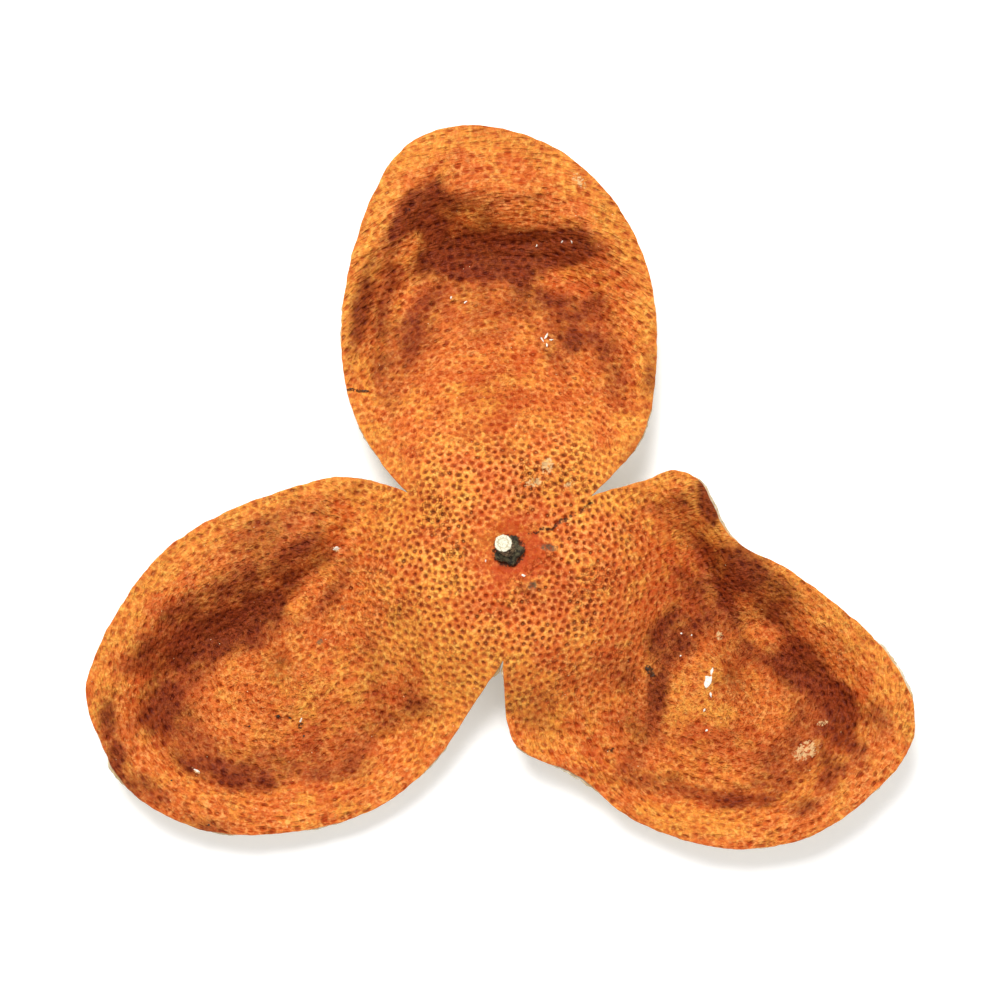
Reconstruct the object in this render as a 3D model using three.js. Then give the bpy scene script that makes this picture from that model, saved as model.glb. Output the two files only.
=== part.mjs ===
// The dried peel of a small orange. It was cut into three petals that stay joined at the stem end,
// and it lies with its rind up: a dome round the stem, and round it three petals that have curled
// into shallow dishes with raised edges. It stands on the undersides of the three dishes.
// Millimetres, +Z up, +X to the right and +Y to the far side. While the forms are worked out the
// stem's axis is x = y = 0 and the ground is z = 0; at the end the whole is moved so that its
// origin is the middle of its footprint on the ground.
import * as THREE from "three";

// ---- driving dimensions -------------------------------------------------------------------------

const DOME = { height: 14.2, fall: 4.6 }; // height of the rind at the stem; how suddenly it falls off
const SEAT = { radius: 2.6, depth: 0.7, blend: 1.6 }; // the dimple that the calyx sits in
// Thickness in the middle and at the edge, how far in it thins from, and how many times as tall as it
// is thick the peel may stand where it is steep.
const PEEL = { middle: 1.7, edge: 1.05, taper: 7, steepest: 1.5 };
const NECK_FADE = 22; // degrees, seen from a dish, over which its wall sinks into the dome at a notch
const GRID = { around: 104, rings: 20, innerRing: 0.04 }; // facets of the peel
const REST = { radius: 5, blend: 3.5, clearance: 0.2 }; // flat spot under each dish; least height elsewhere
const EDGE_STEP = 0.6; // spacing of the points along the edge that distances are measured from
const SLOPE_STEP = 0.5; // half the distance that the rind's slope is measured over
const NOTCH_BLEND = 14; // degrees on each side of a notch over which two petals pass into each other
const JOIN = 4; // power that joins dome and wall: the higher, the sharper the valley between them
const GAP = 0.3; // between pieces that touch

// The hollow and the shoulder run between two shares of the radius; the shoulder falls by a share of
// the height; the rings of facets stand at shares of the radius.
const CALYX = {
  radius: 2.15,
  lobes: 5,
  lobe: 0.13,
  height: 1.0,
  rim: 0.45,
  turn: 20,
  around: 40,
  hollow: [0.35, 0.7],
  shoulder: [0.75, 1.15],
  fall: 0.6,
  rings: [0.25, 0.5, 0.75, 0.9, 1],
};
// The foot and the waist, half way up, are narrower than the top by shares of the radius.
const STALK = {
  radius: 1.3,
  foot: 0.85,
  waist: 0.9,
  height: 1.9,
  chamfer: 0.25,
  lean: 14,
  leanTowards: 128,
  sides: 20,
};
const TINTS = { rind: 0xc96b30, calyx: 0x4a4434, stalk: 0xcfc6ae };
const ROUGHNESS = { rind: 0.55, calyx: 0.9, stalk: 0.8 };

// Each petal. flank: how far from the stem the dome has fallen half way to the floor. floor: height
// of the rind in the bottom of the dish. middle: centre of the dish. rest: where it stands on the
// ground. edge: x, y and height of the cut edge, from the notch before the petal to the next,
// counterclockwise. walls: seen from the middle of the dish, how far in from the edge the flat lip
// ends and where the foot of the wall is. folds: rounded ridges (+) and dents (-), each with its
// place, direction, half length, half width and height.
const PETALS = [
  // the far petal
  {
    flank: 26.5,
    floor: 1.1,
    middle: [-1, 39],
    rest: [-4, 43],
    edge: [
      [11.7, 7.9, 11.8],
      [19.0, 16.8, 8.2],
      [21.3, 27.2, 7.0],
      [20.6, 40.3, 8.0],
      [16.2, 50.4, 9.2],
      [7.5, 59.1, 9.8],
      [-4.9, 62.8, 10.2],
      [-14.6, 60.2, 9.8],
      [-20.1, 51.9, 8.8],
      [-24.1, 36.0, 7.2],
      [-23.0, 22.7, 7.4],
      [-18.5, 13.6, 9.6],
    ],
    walls: [
      { towards: 0, lip: 1, foot: 14 },
      { towards: 60, lip: 6, foot: 17 },
      { towards: 90, lip: 11, foot: 20 },
      { towards: 115, lip: 10, foot: 19 },
      { towards: 140, lip: 4, foot: 15 },
      { towards: 180, lip: 0, foot: 12 },
      { towards: 270, lip: 0, foot: 8 },
    ],
    folds: [
      { at: [-1, 53.5], towards: 175, length: 8, width: 2.8, height: 1.0 },
      { at: [-12.5, 53.5], towards: 120, length: 5, width: 3, height: -1.5 },
      { at: [-2, 34], towards: 90, length: 8, width: 8, height: 1.2 },
    ],
  },
  // the left petal
  {
    flank: 21.5,
    floor: 1.3,
    middle: [-33, -15],
    rest: [-44, -23],
    edge: [
      [-14.4, 8.6, 12.0],
      [-19.2, 10.5, 11.0],
      [-24.2, 11.2, 10.4],
      [-31.4, 9.5, 9.8],
      [-41.5, 5.7, 9.4],
      [-50.1, -0.1, 9.0],
      [-57.2, -10.1, 8.4],
      [-60.6, -19.4, 7.8],
      [-58.5, -26.6, 7.2],
      [-54.2, -33.7, 6.8],
      [-44.2, -39.1, 6.2],
      [-32.7, -39.7, 5.8],
      [-19.9, -36.5, 5.6],
      [-11.3, -30.1, 6.2],
      [-4.8, -21.0, 8.6],
    ],
    walls: [
      { towards: 80, lip: 8, foot: 19 },
      { towards: 125, lip: 7, foot: 18 },
      { towards: 165, lip: 4, foot: 15 },
      { towards: 205, lip: 1, foot: 12 },
      { towards: 240, lip: 2, foot: 11 },
      { towards: 290, lip: 1, foot: 9 },
      { towards: 360, lip: 0, foot: 7 },
    ],
    folds: [{ at: [-33, -18], towards: 25, length: 11, width: 8, height: 2.6 }],
  },
  // the right petal
  {
    flank: 22.5,
    floor: 1.3,
    middle: [32, -17],
    rest: [41, -26],
    edge: [
      [-0.8, -15.5, 11.6],
      [-0.5, -19.7, 10.2],
      [0.5, -26.4, 8.2],
      [3.8, -29.0, 7.6],
      [10.2, -31.6, 7.0],
      [16.0, -36.6, 6.4],
      [24.5, -40.5, 6.2],
      [33.1, -42.0, 6.6],
      [43.1, -40.2, 7.2],
      [51.6, -34.5, 7.8],
      [57.4, -27.4, 8.4],
      [57.7, -21.0, 8.8],
      [53.2, -13.1, 9.0],
      [46.1, -6.6, 9.2],
      [39.0, -1.6, 9.6],
      [33.2, 1.2, 10.2],
      [30.6, 4.0, 10.8],
      [28.2, 8.9, 12.0],
      [25.3, 11.7, 12.8],
      [18.8, 10.3, 12.2],
    ],
    walls: [
      { towards: -120, lip: 0, foot: 8 },
      { towards: -80, lip: 2, foot: 10 },
      { towards: -30, lip: 4, foot: 13 },
      { towards: 15, lip: 2, foot: 13 },
      { towards: 50, lip: 0, foot: 10 },
      { towards: 103, lip: 2, foot: 15 },
      { towards: 180, lip: 0, foot: 7 },
    ],
    folds: [
      { at: [31, -20], towards: -30, length: 9, width: 8, height: 2.4 },
      { at: [29, -31], towards: -12, length: 8, width: 1.8, height: -0.5 },
    ],
  },
];

// ---- small helpers ------------------------------------------------------------------------------

const { smoothstep, degToRad, lerp, euclideanModulo } = THREE.MathUtils;

function finish(kind) {
  return new THREE.MeshStandardMaterial({ color: TINTS[kind], roughness: ROUGHNESS[kind], metalness: 0 });
}

function degreesOf(x, y) {
  return (Math.atan2(y, x) * 180) / Math.PI;
}

// What a table sorted by direction in degrees says between its entries, passing by `ease`.
function byDirection(table, degrees, key, ease = smoothstep) {
  const turn = table[0].towards + euclideanModulo(degrees - table[0].towards, 360);
  const next = table.findIndex((entry) => entry.towards > turn);
  const after = next < 0 ? { ...table[0], towards: table[0].towards + 360 } : table[next];
  const before = next < 0 ? table[table.length - 1] : table[next - 1];
  return lerp(before[key], after[key], ease(turn, before.towards, after.towards));
}

const evenly = (x, from, to) => (x - from) / (to - from);

// ---- the peel's edge ----------------------------------------------------------------------------

// One open curve for each petal, so that the notches between the petals stay sharp.
const edgeCurves = PETALS.map((petal, index) => {
  const points = [...petal.edge, PETALS[(index + 1) % PETALS.length].edge[0]];
  return new THREE.CatmullRomCurve3(points.map((p) => new THREE.Vector3(...p)), false, "centripetal");
});
const edgeLength = edgeCurves.reduce((sum, curve) => sum + curve.getLength(), 0);
const fineEdges = edgeCurves.map((curve) => curve.getSpacedPoints(curve.getLength() / EDGE_STEP));

// The edge as it is seen from the middle of its dish: direction, distance and height of each point.
const edgeViews = PETALS.map(({ middle: [x, y] }, index) => {
  const view = fineEdges[index].map((p) => ({
    towards: degreesOf(p.x - x, p.y - y),
    distance: Math.hypot(p.x - x, p.y - y),
    height: p.z,
  }));
  const first = view[0].towards;
  view.forEach((point) => (point.towards = first + euclideanModulo(point.towards - first + 1, 360) - 1));
  return view;
});

function edgeDistance(x, y) {
  return Math.min(...fineEdges.flatMap((points) => points.map((p) => Math.hypot(p.x - x, p.y - y))));
}

// ---- the rind's height --------------------------------------------------------------------------

// The share that a petal has in a direction: 1 within it, passing to 0 across its two notches.
function share(index, degrees) {
  const [from, to] = [index, (index + 1) % PETALS.length].map((k) => {
    const [x, y] = PETALS[k].edge[0];
    return degreesOf(x, y);
  });
  const span = euclideanModulo(to - from, 360);
  const turn = euclideanModulo(degrees - from + 180 - span / 2, 360) - 180 + span / 2;
  const start = smoothstep(turn, -NOTCH_BLEND, NOTCH_BLEND);
  return start * (1 - smoothstep(turn, span - NOTCH_BLEND, span + NOTCH_BLEND));
}

function foldHeight(fold, x, y) {
  const turn = degToRad(fold.towards);
  const [dx, dy] = [x - fold.at[0], y - fold.at[1]];
  const along = (dx * Math.cos(turn) + dy * Math.sin(turn)) / fold.length;
  const across = (dy * Math.cos(turn) - dx * Math.sin(turn)) / fold.width;
  return fold.height * Math.exp(-along * along - across * across);
}

// A dish: the dome's flank on the stem's side and a wall along the edge, both rising from the floor.
function dishHeight(index, x, y) {
  const petal = PETALS[index];
  const view = edgeViews[index];
  const [dx, dy] = [x - petal.middle[0], y - petal.middle[1]];
  const towards = degreesOf(dx, dy);
  const inwards = byDirection(view, towards, "distance", evenly) - Math.hypot(dx, dy);
  const lip = byDirection(petal.walls, towards, "lip");
  const foot = byDirection(petal.walls, towards, "foot");
  const pastNotch = euclideanModulo(towards - view[0].towards, 360);
  const span = view[view.length - 1].towards - view[0].towards;
  const present = smoothstep(pastNotch, 0, NECK_FADE) * smoothstep(span - pastNotch, 0, NECK_FADE);
  const rise = byDirection(view, towards, "height", evenly) - petal.floor;
  const wall = present * rise * (1 - smoothstep(inwards, lip, foot));
  const dome = (DOME.height - petal.floor) / (1 + (Math.hypot(x, y) / petal.flank) ** DOME.fall);
  const folds = petal.folds.reduce((sum, fold) => sum + foldHeight(fold, x, y), 0);
  return petal.floor + (dome ** JOIN + wall ** JOIN) ** (1 / JOIN) + folds;
}

function rindHeight(x, y) {
  const shares = PETALS.map((_, index) => share(index, degreesOf(x, y)));
  const shared = shares.reduce((sum, part) => sum + part, 0);
  const height = shares.reduce((sum, part, k) => sum + (part > 0 ? part * dishHeight(k, x, y) : 0), 0);
  const seat = 1 - smoothstep(Math.hypot(x, y), SEAT.radius, SEAT.radius + SEAT.blend);
  return height / shared - SEAT.depth * seat;
}

// The underside, one thickness below the rind, and let down to the ground where the dishes stand.
function undersideHeight(x, y) {
  const slopeX = (rindHeight(x + SLOPE_STEP, y) - rindHeight(x - SLOPE_STEP, y)) / (2 * SLOPE_STEP);
  const slopeY = (rindHeight(x, y + SLOPE_STEP) - rindHeight(x, y - SLOPE_STEP)) / (2 * SLOPE_STEP);
  const inwards = smoothstep(edgeDistance(x, y), 0, PEEL.taper);
  const steepness = Math.min(Math.hypot(1, slopeX, slopeY), PEEL.steepest);
  const thickness = lerp(PEEL.edge, PEEL.middle, inwards) * steepness;
  const toRest = Math.min(...PETALS.map(({ rest }) => Math.hypot(x - rest[0], y - rest[1])));
  const clear = smoothstep(toRest, REST.radius, REST.radius + REST.blend);
  return clear * Math.max(rindHeight(x, y) - thickness, REST.clearance);
}

// ---- closed shells ------------------------------------------------------------------------------

// A closed body between two heights over rings of points round a middle: rings[k][i] is {x, y}.
// Each four-sided facet is split along its shorter diagonal.
function ringShell(middle, rings, top, bottom) {
  const around = rings[0].length;
  const positions = [];
  const faces = [];
  const layer = (height) => {
    const first = positions.length / 3;
    positions.push(middle.x, middle.y, height(middle.x, middle.y));
    rings.forEach((ring) => ring.forEach((p) => positions.push(p.x, p.y, height(p.x, p.y))));
    return (ring, i) => (ring < 0 ? first : first + 1 + ring * around + (i % around));
  };
  const upper = layer(top);
  const lower = layer(bottom);
  const corner = (i) => new THREE.Vector3().fromArray(positions, 3 * i);
  const apart = (i, j) => corner(i).distanceTo(corner(j));
  const quad = (a, b, c, d) => {
    if (apart(a, c) < apart(b, d)) faces.push(a, b, c, a, c, d);
    else faces.push(b, c, d, b, d, a);
  };
  const last = rings.length - 1;
  for (let i = 0; i < around; i += 1) {
    faces.push(upper(-1), upper(0, i), upper(0, i + 1));
    faces.push(lower(-1), lower(0, i + 1), lower(0, i));
    for (let k = 0; k < last; k += 1) {
      quad(upper(k, i), upper(k + 1, i), upper(k + 1, i + 1), upper(k, i + 1));
      quad(lower(k, i), lower(k, i + 1), lower(k + 1, i + 1), lower(k + 1, i));
    }
    quad(upper(last, i), lower(last, i), lower(last, i + 1), upper(last, i + 1));
  }
  const geometry = new THREE.BufferGeometry();
  geometry.setAttribute("position", new THREE.Float32BufferAttribute(positions, 3));
  geometry.setIndex(faces);
  geometry.computeVertexNormals();
  return geometry;
}

function peelGeometry() {
  const outline = edgeCurves.flatMap((curve) => {
    const steps = Math.round((GRID.around * curve.getLength()) / edgeLength);
    return curve.getSpacedPoints(steps).slice(0, -1);
  });
  const rings = Array.from({ length: GRID.rings }, (_, k) => {
    const part = lerp(GRID.innerRing, 1, k / (GRID.rings - 1));
    return outline.map((p) => ({ x: p.x * part, y: p.y * part }));
  });
  return ringShell({ x: 0, y: 0 }, rings, rindHeight, undersideHeight);
}

// The dried calyx: a low five-lobed button with a raised rim round a hollow middle.
function calyxGeometry(base) {
  const rings = CALYX.rings.map((part) =>
    Array.from({ length: CALYX.around }, (_, i) => {
      const angle = (2 * Math.PI * i) / CALYX.around;
      const lobe = 1 + CALYX.lobe * part * Math.cos(CALYX.lobes * angle + degToRad(CALYX.turn));
      const radius = CALYX.radius * part * lobe;
      return { x: radius * Math.cos(angle), y: radius * Math.sin(angle) };
    }),
  );
  const top = (x, y) => {
    const part = Math.hypot(x, y) / CALYX.radius;
    const hollow = CALYX.rim * (1 - smoothstep(part, ...CALYX.hollow));
    const shoulder = CALYX.height * CALYX.fall * smoothstep(part, ...CALYX.shoulder);
    return base + CALYX.height - hollow - shoulder;
  };
  return ringShell({ x: 0, y: 0 }, rings, top, () => base);
}

// The cut stump of the stalk, leaning a little, with its cut face up.
function stalkMesh(base) {
  const { radius, foot, waist, height, chamfer, lean, leanTowards, sides } = STALK;
  const profile = [
    [0, 0],
    [radius * foot, 0],
    [radius * waist, height / 2],
    [radius, height - chamfer],
    [radius - chamfer, height],
    [0, height],
  ].map(([r, z]) => new THREE.Vector2(r, z));
  const mesh = new THREE.Mesh(new THREE.LatheGeometry(profile, sides), finish("stalk"));
  mesh.geometry.rotateX(Math.PI / 2);
  const axis = new THREE.Vector3(-Math.sin(degToRad(leanTowards)), Math.cos(degToRad(leanTowards)), 0);
  mesh.quaternion.setFromAxisAngle(axis, degToRad(lean));
  mesh.position.set(0, 0, base + radius * Math.sin(degToRad(lean)));
  return mesh;
}

// ---- the whole ----------------------------------------------------------------------------------

function named(name, mesh) {
  mesh.name = name;
  return mesh;
}

const calyxBase = rindHeight(0, 0) + GAP;
const stalkBase = calyxBase + CALYX.height - CALYX.rim + GAP;

const whole = new THREE.Group();
whole.add(named("peel", new THREE.Mesh(peelGeometry(), finish("rind"))));
whole.add(named("calyx", new THREE.Mesh(calyxGeometry(calyxBase), finish("calyx"))));
whole.add(named("stalk", stalkMesh(stalkBase)));

const box = new THREE.Box3().setFromObject(whole);
whole.position.set(-(box.min.x + box.max.x) / 2, -(box.min.y + box.max.y) / 2, -box.min.z);

const group = new THREE.Group();
group.add(whole);

export default group;
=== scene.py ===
"""The dried peel of a small orange, finished around its packed construction.

The construction gives the peel's form, and this script gives its looks: the rind with its oil
glands and wrinkles, the pith under it with its fibres, the calyx button, the cut stalk, and the
flecks and specks that lie on the rind. Places are in millimetres from the stem's axis on the
ground, and become metres in the construction's own frame when a mesh is made.
"""

from __future__ import annotations

import logging
import math
from dataclasses import dataclass, field
from enum import Enum
from typing import Iterable, Optional, Sequence, Union

import bpy
import numpy as np
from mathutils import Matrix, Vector
from mathutils.bvhtree import BVHTree
from mathutils.geometry import delaunay_2d_cdt
from mathutils.kdtree import KDTree


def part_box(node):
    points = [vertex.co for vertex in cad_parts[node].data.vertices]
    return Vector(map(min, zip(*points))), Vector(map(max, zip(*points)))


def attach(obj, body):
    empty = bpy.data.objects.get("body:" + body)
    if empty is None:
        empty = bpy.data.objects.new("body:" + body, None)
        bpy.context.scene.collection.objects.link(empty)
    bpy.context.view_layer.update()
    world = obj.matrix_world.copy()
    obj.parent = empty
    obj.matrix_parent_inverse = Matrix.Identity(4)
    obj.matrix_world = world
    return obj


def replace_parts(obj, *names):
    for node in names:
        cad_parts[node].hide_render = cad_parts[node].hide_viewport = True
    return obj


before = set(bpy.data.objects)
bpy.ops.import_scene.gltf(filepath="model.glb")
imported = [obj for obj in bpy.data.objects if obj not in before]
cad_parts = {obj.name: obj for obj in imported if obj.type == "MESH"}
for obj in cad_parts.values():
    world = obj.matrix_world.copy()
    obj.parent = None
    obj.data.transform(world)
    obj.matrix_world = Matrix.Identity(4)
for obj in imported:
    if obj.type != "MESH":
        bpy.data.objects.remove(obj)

MM = 0.001
BODY = "root"
log = logging.getLogger("orange_peel")

Color = tuple[float, float, float]
Socket = bpy.types.NodeSocket
Feed = Union[Socket, float, str, Sequence[float], bpy.types.Material]
Key = Union[int, str]
Setting = Union[str, bool]


class Slot(Enum):
    """The record's material slots."""

    RIND = "rind"
    CALYX = "calyx"
    STALK = "stalk"


class PaintChannel(Enum):
    """The channels of the rind's paint: the marks that the rind carries, and the painted shade and
    light.
    """

    SCAR = "scar"
    SOOT_AND_SHADE = "soot"
    GREY = "grey"
    RED = "red"
    GOLD_AND_LIGHT = "gold"
    PAINTED_SHADE_AND_LIGHT = "hollow"


# ---- numbers -------------------------------------------------------------------------------------


def ease(low: float, high: float, value: np.ndarray) -> np.ndarray:
    """0 below low, 1 above high, and a smooth step between them."""
    t = np.clip((value - low) / (high - low), 0.0, 1.0)
    return t * t * (3.0 - 2.0 * t)


def turned(x: np.ndarray, y: np.ndarray, degrees: float) -> tuple[np.ndarray, np.ndarray]:
    """The coordinates along and across a direction given in degrees."""
    c, s = math.cos(math.radians(degrees)), math.sin(math.radians(degrees))
    return x * c + y * s, y * c - x * s


def srgb(red: int, green: int, blue: int) -> Color:
    """A colour on screen as the linear values that a shader takes."""
    screen = (np.array([red, green, blue]) / 255.0 + 0.055) / 1.055
    return tuple(float(v) for v in screen**2.4)


@dataclass(frozen=True)
class Grain:
    """Smooth seeded noise over a plane, from about -1 to 1.

    size: mm from one bump to the next. seed: its number. octaves: layers, each half as large.
    """

    size: float
    seed: int
    octaves: int = 1

    def _corner(self, i: np.ndarray, j: np.ndarray, layer: int) -> tuple[np.ndarray, np.ndarray]:
        """The random direction at a corner of the lattice.

        Args:
            i: the corner's column.
            j: the corner's row.
            layer: the layer's number.

        Returns:
            The direction's two parts.
        """
        mask = np.uint64(0xFFFFFFFF)
        key = (i.astype(np.int64) * 374761393 + j.astype(np.int64) * 668265263).astype(np.uint64)
        key = (key + np.uint64(self.seed * 1442695 + layer * 97561 + 12345)) & mask
        key = ((key ^ (key >> np.uint64(13))) * np.uint64(1274126177)) & mask
        key = (key ^ (key >> np.uint64(16))) & mask
        angle = key.astype(np.float64) * (2.0 * math.pi / 2.0**32)
        return np.cos(angle), np.sin(angle)

    def _layer(self, x: np.ndarray, y: np.ndarray, layer: int) -> np.ndarray:
        """One layer of gradient noise.

        Args:
            x: places in bumps.
            y: places in bumps.
            layer: its number.

        Returns:
            One value for each place.
        """
        i, j = np.floor(x), np.floor(y)
        u, v = x - i, y - j
        total = np.zeros_like(u)
        for a in (0, 1):
            for b in (0, 1):
                gx, gy = self._corner(i + a, j + b, layer)
                wx = ease(0.0, 1.0, 1.0 - np.abs(u - a))
                wy = ease(0.0, 1.0, 1.0 - np.abs(v - b))
                total += wx * wy * (gx * (u - a) + gy * (v - b))
        return total * 1.9

    def at(self, x: np.ndarray, y: np.ndarray) -> np.ndarray:
        """The noise at the given places.

        Args:
            x: places in mm.
            y: places in mm.

        Returns:
            One value for each place.
        """
        total = np.zeros(np.shape(x))
        for layer in range(self.octaves):
            finer = 2.0**layer / self.size
            total += self._layer(np.asarray(x) * finer, np.asarray(y) * finer, layer) / 2.0**layer
        return total


@dataclass(frozen=True)
class SmoothMap:
    """A grid of heights that is read with a smooth curve between its points.

    low: its lowest corner in mm. pitch: its step in mm. values: the heights by row.
    """

    low: np.ndarray
    pitch: float
    values: np.ndarray

    @staticmethod
    def _weights(t: np.ndarray) -> list[np.ndarray]:
        """The weights of four neighbours in a row.

        Args:
            t: how far each place is from the second neighbour to the third.

        Returns:
            The weight of each neighbour.
        """
        return [
            (1.0 - t) ** 3 / 6.0,
            (3.0 * t**3 - 6.0 * t**2 + 4.0) / 6.0,
            (-3.0 * t**3 + 3.0 * t**2 + 3.0 * t + 1.0) / 6.0,
            t**3 / 6.0,
        ]

    def at(self, x: np.ndarray, y: np.ndarray) -> np.ndarray:
        """The height at the given places.

        Args:
            x: places in mm.
            y: places in mm.

        Returns:
            One height for each place.
        """
        u = (np.asarray(x) - self.low[0]) / self.pitch
        v = (np.asarray(y) - self.low[1]) / self.pitch
        i, j = np.floor(u).astype(int), np.floor(v).astype(int)
        across, along = self._weights(u - i), self._weights(v - j)
        rows, columns = self.values.shape
        total = np.zeros(np.shape(u))
        for b in range(4):
            row = np.clip(j + b - 1, 0, rows - 1)
            for a in range(4):
                column = np.clip(i + a - 1, 0, columns - 1)
                total += across[a] * along[b] * self.values[row, column]
        return total

    def blurred(self, reach: float) -> "SmoothMap":
        """The same map averaged over a reach in mm."""
        known = np.ones_like(self.values)
        return SmoothMap(self.low, self.pitch, blur(self.values, known, reach / self.pitch))


def blur(values: np.ndarray, known: np.ndarray, sigma: float) -> np.ndarray:
    """Averages a grid over its known cells, and fills the others from them.

    Args:
        values: the grid.
        known: 1 where a cell counts and 0 where it doesn't.
        sigma: the reach, in cells.

    Returns:
        The averaged grid.
    """
    reach = int(3 * sigma) + 1
    offsets = np.arange(-reach, reach + 1)
    kernel = np.exp(-0.5 * (offsets / sigma) ** 2)
    total, weight = values * known, known.astype(float)
    for axis in (0, 1):
        total = sum(k * np.roll(total, o, axis) for k, o in zip(kernel, offsets))
        weight = sum(k * np.roll(weight, o, axis) for k, o in zip(kernel, offsets))
    return total / np.maximum(weight, 1e-9)


# ---- the peel's form, read back from the construction --------------------------------------------


class PeelForm:
    """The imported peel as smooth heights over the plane, with its outline.

    Its grids reach past the outline, so that a ragged edge can be cut from them.
    """

    PITCH = 0.5
    MARGIN = 4.0
    SMOOTHING = 0.9
    BROAD_SMOOTHING = 4.5
    EDGE_STEP = 0.3
    LEAST_EDGE_RADIUS = 8.0
    NOTCH_WINDOW = 8
    RAY_START = 100.0
    NORMAL_STEP = 0.4

    def __init__(self, peel: bpy.types.Object, calyx: bpy.types.Object) -> None:
        """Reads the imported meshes.

        Args:
            peel: the peel's object in the frame.
            calyx: the calyx's object, which is centred on the stem's axis.
        """
        button = np.unique(np.round(self._places(calyx), 3), axis=0)
        self.stem = np.array([*button[:, :2].mean(axis=0), 0.0])
        self.corners = self._places(peel) - self.stem
        faces = [tuple(face.vertices) for face in peel.data.polygons]
        self.tree = BVHTree.FromPolygons([Vector(c) for c in self.corners.tolist()], faces)
        self.outline = self._outline(faces)
        self.low = self.corners.min(0)[:2] - self.MARGIN
        self.high = self.corners.max(0)[:2] + self.MARGIN
        self.rind = self._heights(-1.0)
        self.underside = self._heights(1.0)
        self.broad = self.rind.blurred(self.BROAD_SMOOTHING)
        self._edge_tree = KDTree(len(self.outline))
        for index, (x, y) in enumerate(self.outline.tolist()):
            self._edge_tree.insert((x, y, 0.0), index)
        self._edge_tree.balance()
        steps = np.linalg.norm(np.diff(self.outline, axis=0, append=self.outline[:1]), axis=1)
        self.edge_lengths = np.concatenate([[0.0], np.cumsum(steps)[:-1]])

    @staticmethod
    def _places(node: bpy.types.Object) -> np.ndarray:
        """A node's vertices in mm.

        Args:
            node: its object.

        Returns:
            Rows of x, y and z.
        """
        flat = np.zeros(len(node.data.vertices) * 3)
        node.data.vertices.foreach_get("co", flat)
        return flat.reshape(-1, 3) / MM

    def _outline(self, faces: list[tuple[int, ...]]) -> np.ndarray:
        """The cut edge as a closed line of close points, counterclockwise, sharp in the notches.

        Args:
            faces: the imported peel's triangles.

        Returns:
            The line's points. The notches are kept too.
        """
        triangles = self.corners[np.array(faces)]
        normals = np.cross(triangles[:, 1] - triangles[:, 0], triangles[:, 2] - triangles[:, 0])
        normals /= np.maximum(np.linalg.norm(normals, axis=1, keepdims=True), 1e-12)
        wall = triangles[np.abs(normals[:, 2]) < 0.02][:, :, :2].reshape(-1, 2)
        points = np.unique(np.round(wall, 2), axis=0)
        points = points[np.hypot(points[:, 0], points[:, 1]) > self.LEAST_EDGE_RADIUS]
        points = points[np.argsort(np.arctan2(points[:, 1], points[:, 0]))]
        radii = np.hypot(points[:, 0], points[:, 1])
        count = len(points)
        reach = range(-self.NOTCH_WINDOW, self.NOTCH_WINDOW + 1)
        window = [np.roll(radii, shift) for shift in reach]
        notches = [int(i) for i in np.nonzero(radii <= np.min(window, axis=0))[0]]
        self.notches = points[notches]
        line: list[np.ndarray] = []
        for start, end in zip(notches, notches[1:] + [notches[0] + count]):
            arc = points[[i % count for i in range(start, end + 1)]]
            line.append(self._smooth_arc(arc)[:-1])
        return np.concatenate(line)

    def _smooth_arc(self, arc: np.ndarray) -> np.ndarray:
        """A smooth line through the points of one petal's edge, at an even step.

        Args:
            arc: the points from one notch to the next.

        Returns:
            The line's points.
        """
        padded = np.concatenate([2 * arc[:1] - arc[1:2], arc, 2 * arc[-1:] - arc[-2:-1]])
        pieces = []
        for a, b, c, d in zip(padded, padded[1:], padded[2:], padded[3:]):
            t = np.linspace(0.0, 1.0, 24, endpoint=False)[:, None]
            bend = (2 * a - 5 * b + 4 * c - d) * t**2 + (3 * b - a - 3 * c + d) * t**3
            pieces.append(0.5 * (2 * b + (c - a) * t + bend))
        fine = np.concatenate(pieces + [arc[-1:]])
        lengths = np.concatenate([[0.0], np.cumsum(np.linalg.norm(np.diff(fine, axis=0), axis=1))])
        even = np.linspace(0.0, lengths[-1], int(lengths[-1] / self.EDGE_STEP) + 1)
        return np.stack([np.interp(even, lengths, fine[:, k]) for k in (0, 1)], axis=1)

    def _heights(self, towards: float) -> SmoothMap:
        """The heights that rays find which run straight down (-1) or straight up (1).

        Args:
            towards: which way the rays run.

        Returns:
            The heights, smoothed, and carried on past the outline.
        """
        xs = np.arange(self.low[0], self.high[0], self.PITCH)
        ys = np.arange(self.low[1], self.high[1], self.PITCH)
        values = np.zeros((len(ys), len(xs)))
        known = np.zeros_like(values)
        start = -self.RAY_START * towards
        for row, y in enumerate(ys):
            for column, x in enumerate(xs):
                hit = self.tree.ray_cast(Vector((x, y, start)), Vector((0.0, 0.0, towards)))[0]
                if hit is not None:
                    values[row, column] = hit.z
                    known[row, column] = 1.0
        sigma = self.SMOOTHING / self.PITCH
        inner = blur(values, known, sigma)
        outer = blur(values, known, 4.0 * sigma)
        near = blur(known, np.ones_like(known), sigma)
        filled = np.where(near > 0.02, inner, outer)
        return SmoothMap(self.low, self.PITCH, filled)

    def normals(self, x: np.ndarray, y: np.ndarray) -> np.ndarray:
        """The directions square to the rind at the given places.

        Args:
            x: places in mm.
            y: places in mm.

        Returns:
            Rows of x, y and z.
        """
        step = self.NORMAL_STEP
        dx = (self.rind.at(x + step, y) - self.rind.at(x - step, y)) / (2 * step)
        dy = (self.rind.at(x, y + step) - self.rind.at(x, y - step)) / (2 * step)
        raw = np.stack([-dx, -dy, np.ones_like(dx)], axis=1)
        return raw / np.linalg.norm(raw, axis=1, keepdims=True)

    def edge(self, x: np.ndarray, y: np.ndarray) -> np.ndarray:
        """How far each place is from the edge."""
        places = zip(x.tolist(), y.tolist())
        return np.array([self._edge_tree.find((px, py, 0.0))[2] for px, py in places])

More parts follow.
